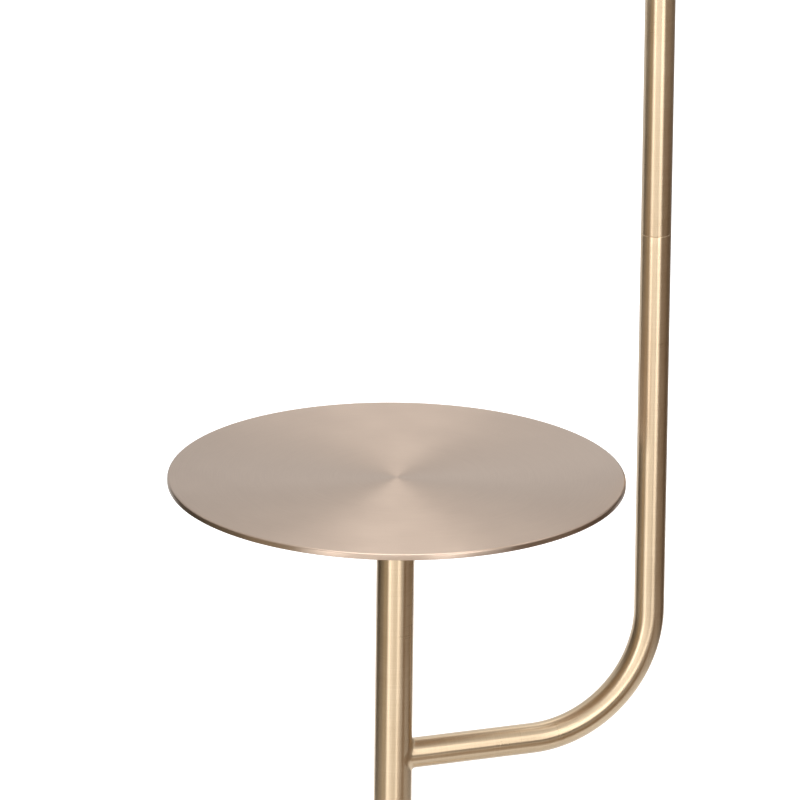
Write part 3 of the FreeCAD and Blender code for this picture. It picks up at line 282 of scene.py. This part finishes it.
def brushed(name, light, dark, smooth, rough, stretch, centre_x=None):
    """Brushed and lacquered metal, its marks running round the piece."""
    material, tree, shader = blank(name, Metallic=1.0, Anisotropic=stretch)
    if centre_x is None:
        along, place, tangent = mapped_place(tree)
    else:
        along, place, tangent = turned_place(tree, centre_x)
    marks = add(tree, "ShaderNodeGroup", node_tree=brushing)
    inputs = {"Along": along, "Place": place, "Light": light, "Dark": dark}
    inputs |= {"Lines": brush_lines, "Smooth": smooth, "Rough": rough}
    for title, source in inputs.items():
        wire(tree, source, marks.inputs[title])
    wire(tree, marks.outputs["Color"], shader.inputs["Base Color"])
    wire(tree, marks.outputs["Roughness"], shader.inputs["Roughness"])
    wire(tree, tangent, shader.inputs["Tangent"])
    bump(tree, shader, marks.outputs["Height"], strength=0.5, depth=brush_relief)
    return material


brass_finish = (brass_light, brass_dark, brass_smooth, brass_rough, brass_stretch)
stem_brass = brushed("stem_brass", *brass_finish, centre_x=0.0)
dress(stem_brass, "brushed_brass", "base_cover", "stem_collar")

# ---- Stem ------------------------------------------------------------------------------
# Drawn brass tube, brushed round and lacquered; the lead enters the arm through its side.
# A tapped steel plug in its foot takes the threaded tube from the base.

dress(stem_brass, "brushed_brass", "stem_tube")
dress(zinc_plating, "zinc_steel", "stem_bottom_plug")

# ---- Table -----------------------------------------------------------------------------
# A disc spun from sheet, its edge turned down and its four studs welded below. It is
# brushed in circles, so light spreads from the middle to the edge in wedges. Nuts hold it
# to a flange, and a grub screw holds the flange's spigot in the stem.


def rounded(corners, steps=10):
    """An outline through corners (x, y) or (x, y, radius), as an array of points. A corner
    with a radius becomes an arc whose centre lies on the corner's bisector, radius / sin of
    the half angle away, and whose points are spaced evenly between the two tangent points."""
    points = np.array([corner[:2] for corner in corners], float)
    pieces = []
    for index, corner in enumerate(corners):
        if len(corner) < 3:
            pieces.append(points[index:index + 1])
            continue
        here, after = points[index], points[(index + 1) % len(points)]
        back = (points[index - 1] - here) / np.linalg.norm(points[index - 1] - here)
        ahead = (after - here) / np.linalg.norm(after - here)
        half = math.acos(np.clip(back @ ahead, -1, 1)) / 2
        bisector = (back + ahead) / np.linalg.norm(back + ahead)
        centre = here + bisector * corner[2] / math.sin(half)
        enter = here + back * corner[2] / math.tan(half) - centre
        leave = here + ahead * corner[2] / math.tan(half) - centre
        share = np.linspace(0, 1, steps + 1)[:, None]
        turn = math.pi - 2 * half
        weight_in = np.sin((1 - share) * turn) / math.sin(turn)
        weight_out = np.sin(share * turn) / math.sin(turn)
        pieces.append(centre + weight_in * enter + weight_out * leave)
    return np.concatenate(pieces)


def turned_grid(outline, centre_x, foot, columns):
    """The outline's x as distance from an upright axis and its y as height, carried round
    the axis: x = centre + r cos a, y = r sin a, z = foot + height."""
    angle = np.arange(columns) * 2 * np.pi / columns
    across = outline[:, :1]
    height = np.broadcast_to(foot + outline[:, 1:], (len(outline), columns))
    return np.stack([centre_x + across * np.cos(angle), across * np.sin(angle), height], axis=2)


crease, merge_distance = math.radians(40), 1e-7


def skin(name, grid, closed=False):
    """A mesh over a grid of points whose columns run round the piece and whose rows run
    along it; closed joins the last row to the first. Each quad's corners go round and then
    along, so that its normal points outwards. The map metres holds the distance along the
    first column and the distance round the widest row."""
    rows, columns, _ = grid.shape
    number = np.arange(rows * columns).reshape(rows, columns)
    ahead = np.roll(number, -1, axis=0) if closed else number[1:]
    here = number if closed else number[:-1]
    quads = np.stack([here, np.roll(here, -1, 1), np.roll(ahead, -1, 1), ahead], axis=2)
    mesh = bpy.data.meshes.new(name)
    mesh.from_pydata(grid.reshape(-1, 3).tolist(), [], quads.reshape(-1, 4).tolist())
    looped = np.concatenate([grid, grid[:1]])[:len(here) + 1]
    steps = np.linalg.norm(np.diff(looped[:, 0], axis=0), axis=1)
    along = np.concatenate([[0.0], np.cumsum(steps)])
    girth = np.linalg.norm(grid - np.roll(grid, -1, axis=1), axis=2).sum(axis=1).max()
    turn = np.arange(columns + 1) / columns * girth
    low, high = along[:-1, None], along[1:, None]
    left, right = turn[None, :-1], turn[None, 1:]
    corners = [(low, left), (low, right), (high, right), (high, left)]
    spans = [np.broadcast_arrays(*corner) for corner in corners]
    places = np.stack([np.stack(span, axis=2) for span in spans], axis=2)
    layer = mesh.uv_layers.new(name="metres")
    layer.data.foreach_set("uv", places.astype(np.float32).ravel())
    tidy = bmesh.new()
    tidy.from_mesh(mesh)
    bmesh.ops.remove_doubles(tidy, verts=tidy.verts, dist=merge_distance)
    tidy.to_mesh(mesh)
    tidy.free()
    mesh.shade_smooth()
    mesh.set_sharp_from_angle(angle=crease)
    return mesh


def piece(name, mesh, material, slot, body, *stands_for):
    """A finished piece at the origin, riding on its body in place of the solids named."""
    made = bpy.data.objects.new(name, mesh)
    bpy.context.scene.collection.objects.link(made)
    mesh.materials.append(material)
    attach(made, body)
    if stands_for:
        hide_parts(*stands_for)
    return made


def joined(name, *meshes):
    """Several meshes made one, their maps kept."""
    together = bmesh.new()
    for mesh in meshes:
        together.from_mesh(mesh)
    made = bpy.data.meshes.new(name)
    together.to_mesh(made)
    together.free()
    for mesh in meshes:
        bpy.data.meshes.remove(mesh)
    made.set_sharp_from_angle(angle=crease)
    return made


table_low, table_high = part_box("table_disc")
table_radius = table_high.x
table_top = table_high.z
table_sheet, table_edge, table_round = 1.5 * mm, 4 * mm, 1.4 * mm
lip_round = 0.35 * mm
stud_radius, stud_reach, stud_count = 2 * mm, 30 * mm, 4
disc_columns, stud_columns = 512, 24

inner_radius = table_radius - table_sheet
disc_outline = rounded([
    (0, -table_sheet),
    (inner_radius, -table_sheet, table_sheet / 2),
    (inner_radius, -table_edge, lip_round),
    (table_radius, -table_edge, lip_round),
    (table_radius, 0, table_round),
    (0, 0),
])
disc = skin("disc", turned_grid(disc_outline, 0, table_top, disc_columns))
stud_outline = rounded([
    (0, table_low.z - table_top),
    (stud_radius, table_low.z - table_top, lip_round),
    (stud_radius, -table_sheet),
])
studs = []
for place in range(stud_count):
    turn = place * 2 * math.pi / stud_count
    grid = turned_grid(stud_outline, 0, table_top, stud_columns)
    grid += np.array([math.cos(turn), math.sin(turn), 0]) * stud_reach
    studs.append(skin(f"stud_{place}", grid))
table_light, table_dark = colour(186, 167, 151), colour(175, 155, 139)
table_smooth, table_rough, table_stretch = 0.3, 0.36, 0.8
table_finish = (table_light, table_dark, table_smooth, table_rough, table_stretch)
table_brass = brushed("table_brass", *table_finish, centre_x=0.0)
table_mesh = joined("table_top", disc, *studs)
piece("table_top", table_mesh, table_brass, "table_brass", "lamp", "table_disc")
dress(stem_brass, "brushed_brass", "table_flange")
dress(zinc_plating, "zinc_steel", "flange_screw", "table_nuts")

# ---- Arm and pole ----------------------------------------------------------------------
# Two drawn tubes that meet in a fine seam above the table. The arm is bent to a J, coped to
# the stem and brazed there with a small fillet; the pole goes on straight up.

pole_low, pole_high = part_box("pole_tube")
stem_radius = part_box("stem_tube")[1].x
tube_radius = (pole_high.y - pole_low.y) / 2
tube_wall = 1.2 * mm
pole_x = (pole_high.x + pole_low.x) / 2
seam_level = pole_low.z
arm_drop, bend_radius = 194 * mm, 82 * mm
arm_level = table_top - arm_drop
fillet_radius, fillet_rows = 2.2 * mm, 10
end_round, end_rows = 0.4 * mm, 6


def tube_outline(length):
    """Half the section of a tube with rounded ends, as distances along and from its axis."""
    return rounded([
        (tube_radius - tube_wall, 0),
        (tube_radius, 0, end_round),
        (tube_radius, length, end_round),
        (tube_radius - tube_wall, length),
    ], end_rows)


tube_brass = brushed("tube_brass", *brass_finish)
tube_columns = 96
pole_grid = turned_grid(tube_outline(pole_high.z - seam_level), pole_x, seam_level, tube_columns)
piece("pole", skin("pole", pole_grid, closed=True), tube_brass, "brushed_brass", "lamp", "pole_tube")
run_rows, bend_rows, rise_rows = 24, 64, 40


def arm_skin():
    """The J-shaped tube. A point is path(s) + r (cos a up + sin a side): the path runs level,
    then round a quarter circle, then straight up, and the section is square to it. The coped
    end starts where each line of the tube meets the stem, x = sqrt(stem^2 - y^2), and near it
    r grows by the brazing fillet, f - sqrt(f^2 - (f - s)^2) at a distance s from the stem."""
    angle = np.arange(tube_columns) * 2 * np.pi / tube_columns
    level_run = pole_x - bend_radius
    bend_length = bend_radius * math.pi / 2
    total = level_run + bend_length + seam_level - arm_level - bend_radius
    near = fillet_radius * (1 - np.cos(np.linspace(0, np.pi / 2, fillet_rows)))
    run = np.linspace(stem_radius + 2 * fillet_radius, level_run, run_rows)
    bend = np.linspace(level_run, level_run + bend_length, bend_rows)[1:]
    rise = np.linspace(level_run + bend_length, total - end_round, rise_rows)[1:]
    end_turn = np.linspace(0, np.pi / 2, end_rows)[1:]
    end = total - end_round + end_round * np.sin(end_turn)
    end_r = tube_radius - end_round + end_round * np.cos(end_turn)
    swell = fillet_radius - np.sqrt(fillet_radius**2 - (fillet_radius - near)**2)
    outer_r = np.concatenate([
        tube_radius + swell,
        np.full(len(run) + len(bend) + len(rise), tube_radius),
        end_r,
    ])
    far = np.concatenate([run, bend, rise, end])
    bore = tube_radius - tube_wall
    radius = np.concatenate([outer_r, np.full(len(far), bore), [bore]])
    inner = far[::-1]
    s = np.concatenate([near, far, inner, [0.0]])
    from_stem = np.zeros(len(s), bool)
    from_stem[:len(near)] = from_stem[-1] = True
    side = radius[:, None] * np.sin(angle)
    cope = np.sqrt(np.maximum(stem_radius**2 - side**2, 0))
    distance = np.where(from_stem[:, None], cope + s[:, None], s[:, None])
    turn = np.clip((distance - level_run) / bend_radius, 0, np.pi / 2)
    level = np.minimum(distance, level_run)
    upright = np.maximum(distance - level_run - bend_length, 0)
    x = level + bend_radius * np.sin(turn)
    z = arm_level + bend_radius * (1 - np.cos(turn)) + upright
    lift = radius[:, None] * np.cos(angle)
    return np.stack([x - lift * np.sin(turn), side, z + lift * np.cos(turn)], axis=2)[:, ::-1]


piece("arm", skin("arm", arm_skin(), closed=True), tube_brass, "brushed_brass", "lamp", "arm_tube")
dress(zinc_plating, "zinc_steel", "arm_top_plug", "pole_bottom_plug", "pole_nipple", "pole_top_plug")

# ---- Lampholder ------------------------------------------------------------------------
# A turned neck, a drawn cap and a drawn shell with a paper liner, round a black moulding
# that holds the turn switch. The bulb's screw shell and contact stand on the moulding.

pole_brass = brushed("pole_brass", *brass_finish, centre_x=pole_x)
dress(pole_brass, "brushed_brass", "pole_neck", "socket_cap", "socket_shell")
dress(zinc_plating, "zinc_steel", "socket_nipple", "socket_nut")
liner_paper = grained(
    "liner_paper", colour(176, 146, 108), colour(150, 121, 86),
    scale=500, smooth=0.75, rough=0.9, relief=3e-5,
)
black_moulding = grained(
    "black_moulding", colour(46, 42, 39), colour(33, 30, 28),
    scale=900, smooth=0.28, rough=0.4, relief=1e-5,
)
bright_brass = grained(
    "bright_brass", colour(222, 187, 118), colour(205, 168, 98),
    scale=500, smooth=0.18, rough=0.3, relief=5e-6, Metallic=1.0,
)
dress(liner_paper, "liner_paper", "socket_liner")
dress(black_moulding, "black_moulding", "switch_body", "switch_knob")
dress(bright_brass, "contact_brass", "screw_shell", "centre_contact", "switch_shaft")

# ---- Harp ------------------------------------------------------------------------------
# A strip saddle under the lampholder, a bent wire harp in it, and two sleeves that slide up
# to free the harp. All are plated to match the tubes.

dress(pole_brass, "brushed_brass", "harp_saddle", "harp")
dress(pole_brass, "brushed_brass", "harp_sleeve_left", "harp_sleeve_right")

# ---- Shade -----------------------------------------------------------------------------
# Linen glued to a stiff film and turned in over two wire rings. The top ring, its three
# spokes and the hub are one weldment that sits on the harp.

white_coating = grained(
    "white_coating", colour(231, 228, 218), colour(221, 217, 205),
    scale=900, smooth=0.45, rough=0.6, relief=2e-5,
)
stiff_film = grained(
    "stiff_film", colour(241, 239, 230), colour(234, 231, 220),
    scale=300, smooth=0.5, rough=0.62, relief=1e-5,
)
dress(pole_brass, "brushed_brass", "shade_spider")
dress(white_coating, "white_wire", "shade_bottom_ring")
dress(stiff_film, "shade_backing", "shade_backing")

linen_low, linen_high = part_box("shade_linen")
linen_height = linen_high.z - linen_low.z
linen_foot_radius = (linen_high.x - linen_low.x) / 2
linen_top_radius = 170 * mm
linen_thickness, ring_wire, hem = 0.8 * mm, 3.6 * mm, 6 * mm
hem_round = linen_thickness + ring_wire / 2
seam_width, seam_edge, seam_lift = 11 * mm, 2 * mm, 0.5 * mm
wave_height = 0.25 * mm
slope_rows, linen_columns = 48, 384
linen_light, linen_dark, linen_gap_shade = colour(236, 229, 212), colour(205, 193, 168), colour(182, 169, 144)
thread_pitch = 0.85 * mm


def linen_grid():
    """The linen as one closed thin loop of section carried round the shade's axis. Along the
    lapped seam, on the side away from the stem, it stands out by seam_lift times a smooth
    step, and the whole cone swells in slow waves: height x sin(3 a + 2 h) x sin(pi h)."""
    foot, top, sheet = linen_foot_radius, linen_top_radius, linen_thickness
    inner_round = hem_round - sheet
    section = rounded([
        (foot - hem, 0),
        (foot, 0, hem_round),
        (top, linen_height, hem_round),
        (top - hem, linen_height),
        (top - hem, linen_height - sheet),
        (top - sheet, linen_height - sheet, inner_round),
        (foot - sheet, sheet, inner_round),
        (foot - hem, sheet),
    ])
    on_slope = np.abs(np.diff(section[:, 1], append=section[:1, 1])) > linen_height / 2
    parts = []
    for start, slope in enumerate(on_slope):
        here, after = section[start], section[(start + 1) % len(section)]
        steps = slope_rows if slope else 1
        parts.append(here + (after - here) * (np.arange(steps) / steps)[:, None])
    section = np.concatenate(parts)
    grid = turned_grid(section, 0, linen_low.z, linen_columns)
    angle = np.arctan2(grid[..., 1], grid[..., 0])
    height = (grid[..., 2] - linen_low.z) / linen_height
    lap = np.clip((seam_width / 2 - np.abs(angle) * linen_foot_radius) / seam_edge, 0, 1)
    waves = wave_height * np.sin(3 * angle + 2 * height) * np.sin(np.pi * height)
    swell = seam_lift * lap * lap * (3 - 2 * lap) + waves
    away = np.stack([np.cos(angle), np.sin(angle)], axis=2)
    grid[..., :2] += away * swell[..., None]
    grid[..., 0] += pole_x
    return grid


def streaks(tree, across, along, width, length):
    """Noise drawn out along the threads: its spots are width across them and length along."""
    narrow = arithmetic(tree, "DIVIDE", across, width)
    drawn_out = arithmetic(tree, "DIVIDE", along, length)
    inputs = {0: narrow, 1: drawn_out}
    return noise(tree, add(tree, "ShaderNodeCombineXYZ", inputs).outputs[0], 1.0)


def woven(name, light, dark, gap_shade, pitch):
    """Plain-woven linen on the piece's own map: warp and weft threads pass over each other
    in turn, each thread with its own tone, a thicker one here and there; the low places
    between the threads are painted darker as shade."""
    material, tree, shader = blank(name, Sheen_Weight=0.25, Sheen_Roughness=0.6)
    place = add(tree, "ShaderNodeTexCoord").outputs
    shift = spread(tree, noise(tree, place["Object"], 30.0, detail=3.0), -pitch, pitch)
    apart = add(tree, "ShaderNodeSeparateXYZ", {0: place["UV"]}).outputs
    moved = [arithmetic(tree, "ADD", apart[axis], shift) for axis in (0, 1)]
    turns = [arithmetic(tree, "MULTIPLY", part, math.pi / pitch) for part in moved]
    waves = [arithmetic(tree, "SINE", turn) for turn in turns]
    crossing = arithmetic(tree, "MULTIPLY", waves[0], waves[1])
    swell = arithmetic(tree, "ABSOLUTE", crossing)
    warp_over = spread(tree, crossing, 0.0, 1.0, start=-0.2, end=0.2)
    tones = []
    for across, along in ((0, 1), (1, 0)):
        fine = streaks(tree, moved[across], moved[along], width=1.1 * pitch, length=45 * pitch)
        thick = streaks(tree, moved[across], moved[along], width=3.5 * pitch, length=30 * pitch)
        slub = spread(tree, thick, 0.0, 0.45, start=0.56, end=0.72)
        tone = spread(tree, fine, 0.0, 0.75, start=0.32, end=0.68)
        tones.append(mixed(tree, arithmetic(tree, "ADD", tone, slub), dark, light))
    threads = mixed(tree, warp_over, tones[0], tones[1])
    # Painted shade: where the threads dip, the cloth takes the darker gap colour.
    cloth = mixed(tree, spread(tree, swell, 0.0, 1.0, end=0.3), gap_shade, threads)
    wire(tree, cloth, shader.inputs["Base Color"])
    wire(tree, spread(tree, swell, 0.95, 0.75), shader.inputs["Roughness"])
    bump(tree, shader, swell, strength=0.6, depth=1.5e-4)
    return material


linen_cloth = woven("linen_cloth", linen_light, linen_dark, linen_gap_shade, thread_pitch)
linen_mesh = skin("linen_cover", linen_grid(), closed=True)
linen = piece("linen_cover", linen_mesh, linen_cloth, "shade_linen", "shade", "shade_linen")

# ---- Finial ----------------------------------------------------------------------------
# A turned brass knob that screws down on the hub, brushed like the tubes.

dress(pole_brass, "brushed_brass", "finial")

# ---- Bulb ------------------------------------------------------------------------------
# A frosted glass bulb on a rolled aluminium cap, with four light-giving rods inside.

bulb_aluminium = grained(
    "bulb_aluminium", colour(214, 215, 214), colour(196, 197, 197),
    scale=600, smooth=0.2, rough=0.34, relief=1e-5, Metallic=1.0,
)
frosted_glass = grained(
    "frosted_glass", colour(250, 248, 242), colour(244, 241, 232),
    scale=400, smooth=0.3, rough=0.42, relief=1e-5, Transmission_Weight=0.85, IOR=1.5,
)
light_rod = grained(
    "light_rod", colour(240, 214, 128), colour(228, 196, 104),
    scale=900, smooth=0.5, rough=0.65, relief=2e-5,
)
dress(bulb_aluminium, "bulb_metal", "bulb_cap")
dress(frosted_glass, "bulb_glass", "bulb_glass")
dress(light_rod, "light_source", "bulb_filament")

# ---- Lead inside the tubes -------------------------------------------------------------
# A round two-core lead in a cream sheath runs from the terminal block to the lampholder.

lead_sheath = grained(
    "lead_sheath", colour(212, 204, 184), colour(200, 191, 168),
    scale=700, smooth=0.45, rough=0.6, relief=2e-5,
)
dress(lead_sheath, "lead_sheath", "inner_lead")

# ---- Stage, light and camera -----------------------------------------------------------
# A pale floor under soft lamps, glowing less round the base as a painted pool of shade, seen
# from the photograph's place: a long lens nine metres off, looking down by nineteen degrees.
# Curved screens that show only in the metal's gloss give the tubes their dark and bright bands.

scene = bpy.context.scene
view_azimuth = math.radians(-21.15)


def direction(azimuth, elevation):
    """The unit vector towards an azimuth, counted from -Y to the right, and an elevation."""
    ahead = math.cos(elevation)
    return Vector((math.sin(azimuth) * ahead, -math.cos(azimuth) * ahead, math.sin(elevation)))


def background_mask(tree):
    """1 for rays from the camera, off gloss and through glass, and 0 for all others."""
    path = add(tree, "ShaderNodeLightPath").outputs
    seen = arithmetic(tree, "MAXIMUM", path["Is Camera Ray"], path["Is Glossy Ray"])
    return arithmetic(tree, "MAXIMUM", seen, path["Is Transmission Ray"])


world = bpy.data.worlds.new("studio")
scene.world = world
world.use_nodes = True
sky = world.node_tree.nodes["Background"]
world_level = 0.55
sky.inputs["Color"].default_value = (1, 1, 1, 1)
white = background_mask(world.node_tree)
wire(world.node_tree, spread(world.node_tree, white, world_level, 1.0), sky.inputs["Strength"])

floor_reach = 14.0
floor_mesh = bpy.data.meshes.new("floor")
corners = [(x * floor_reach, y * floor_reach, 0) for x, y in ((-1, -1), (1, -1), (1, 1), (-1, 1))]
floor_mesh.from_pydata(corners, [], [(0, 1, 2, 3)])
floor = bpy.data.objects.new("floor", floor_mesh)
scene.collection.objects.link(floor)

# The floor glows white for the camera, in gloss and through glass, and less near the base,
# which paints a pale grey pool of shade round the lamp where its shadow lies; the metal
# shows that painted shade in its gloss too.
floor_grey, glow_near, glow_far = 0.62, 0.12, 0.75
glow_start, glow_end = 0.2, 1.3
floor_paint, tree, shader = blank("floor_paint", Roughness=0.9)
shader.inputs["Base Color"].default_value = (floor_grey, floor_grey, floor_grey, 1)
shader.inputs["Emission Color"].default_value = (1, 1, 1, 1)
floor_place = add(tree, "ShaderNodeTexCoord").outputs["Object"]
floor_distance = add(tree, "ShaderNodeVectorMath", {0: floor_place}, operation="LENGTH")
away_from_base = floor_distance.outputs["Value"]
# Painted shade: the glow falls off towards the base.
painted_shade_fade = spread(tree, away_from_base, glow_near, glow_far, glow_start, glow_end)
glow = arithmetic(tree, "MULTIPLY", painted_shade_fade, background_mask(tree))
wire(tree, glow, shader.inputs["Emission Strength"])
floor_mesh.materials.append(floor_paint)


screen_columns, side_away, back_away, back_top = 24, 0.75, 1.5, 1.6


def gloss_screen(name, start, end, distance, foot, top, level, tint=(1.0, 1.0, 1.0, 1)):
    """A curved screen standing round part of the lamp and seen only in its gloss: points
    lie on an upright cylinder of radius distance, between two azimuths in degrees, counted
    from the camera's to the right, and between the heights foot and top. Level is how
    bright it is, 1 being white."""
    turn = view_azimuth + np.radians(np.linspace(start, end, screen_columns))
    x, y = pole_x / 2 + distance * np.sin(turn), -distance * np.cos(turn)
    rows = [np.stack([x, y, np.full(screen_columns, z)], axis=1) for z in (foot, top)]
    first = np.arange(screen_columns - 1)
    above = first + screen_columns
    quads = np.stack([first, first + 1, above + 1, above], axis=1)
    mesh = bpy.data.meshes.new(name)
    mesh.from_pydata(np.concatenate(rows).tolist(), [], quads.tolist())
    screen = bpy.data.objects.new(name, mesh)
    scene.collection.objects.link(screen)
    material, _, shader = blank(name, Roughness=1.0, Base_Color=(0, 0, 0, 1))
    shader.inputs["Emission Color"].default_value = tint
    shader.inputs["Emission Strength"].default_value = level
    mesh.materials.append(material)
    screen.visible_camera = screen.visible_diffuse = screen.visible_shadow = False
    screen.visible_transmission = False


olive, brown = (1.0, 0.83, 0.58, 1), (1.0, 0.68, 0.43, 1)
gloss_screen("left_screen_back", -130, -94, side_away, 0, 0.76, 0.08, olive)
gloss_screen("left_screen_side", -94, -72, side_away, 0, 0.88, 0.2, olive)
gloss_screen("left_screen_front", -72, -46, side_away, 0, 1.0, 0.42, olive)
gloss_screen("right_screen_front", 46, 98, side_away, 0, 0.85, 0.19, brown)
gloss_screen("right_screen_back", 98, 140, side_away, 0, 0.85, 0.12, brown)
gloss_screen("horizon_screen", 16, 46, 0.6, 0.23, 0.4, 0.05, brown)
gloss_screen("low_right_screen", 10, 64, 0.4, 0, 0.25, 0.33, brown)
gloss_screen("low_middle_screen", -14, 8, 1.1, 0, 0.24, 0.55, olive)
gloss_screen("back_screen_left", -170, -130, back_away, 0, back_top, 0.7)
gloss_screen("back_screen_right", 140, 170, back_away, 0, back_top, 0.34)


lamp_target = Vector((0.05, 0, 0.6))


def soft_lamp(name, azimuth, elevation, distance, width, height, power, fills=True, glints=True):
    """A soft rectangular lamp aimed at lamp_target, distance away from it in the direction
    of two angles in degrees, azimuth being counted from the camera's to the right. Width
    and height are in metres and power in watts. It may only fill the shadows or only glint
    in the metal."""
    data = bpy.data.lights.new(name, "AREA")
    data.shape, data.size, data.size_y, data.energy = "RECTANGLE", width, height, power
    lamp = bpy.data.objects.new(name, data)
    scene.collection.objects.link(lamp)
    away = direction(view_azimuth + math.radians(azimuth), math.radians(elevation))
    lamp.location = lamp_target + away * distance
    lamp.rotation_mode = "QUATERNION"
    lamp.rotation_quaternion = away.to_track_quat("Z", "Y")
    lamp.visible_diffuse, lamp.visible_glossy = fills, glints


soft_lamp("left_glint", -31, 4, 3.0, 0.7, 1.5, 10.5, fills=False)
soft_lamp("right_glint", 25, 5, 3.0, 0.9, 1.5, 14.5, fills=False)
soft_lamp("middle_glint", -6, 4, 3.0, 1.5, 1.5, 6, fills=False)
soft_lamp("arm_glint", 39, 28, 3.0, 0.6, 1.0, 8, fills=False)
soft_lamp("arm_top_glint", 111, 62, 2.2, 1.0, 1.0, 3.5, fills=False)
soft_lamp("back_glint", 180, 50, 3.0, 0.9, 0.9, 3, fills=False)
soft_lamp("front_fill", -25, 35, 3.0, 1.6, 1.6, 28, glints=False)
soft_lamp("rear_fill", 165, 40, 3.0, 1.6, 1.6, 26, glints=False)
soft_lamp("top_lamp", 0, 88, 2.6, 1.8, 1.8, 38)

lens_length, film_width, view_distance = 630, 36, 9.152
view_elevation, view_roll = math.radians(19.13), math.radians(0.71)
aim_right, aim_up = 2.25 * mm, 50.4 * mm
camera_data = bpy.data.cameras.new("camera")
camera_data.lens, camera_data.sensor_width = lens_length, film_width
camera = bpy.data.objects.new("camera", camera_data)
scene.collection.objects.link(camera)
scene.camera = camera
back = direction(view_azimuth, view_elevation)
camera_turn = (-back).to_track_quat("-Z", "Y") @ Quaternion((0, 0, 1), view_roll)
aim = Vector((0, 0, table_top)) + camera_turn @ Vector((aim_right, aim_up, 0))
camera.rotation_mode = "QUATERNION"
camera.rotation_quaternion = camera_turn
camera.location = aim + back * view_distance
scene.view_settings.view_transform = "Standard"
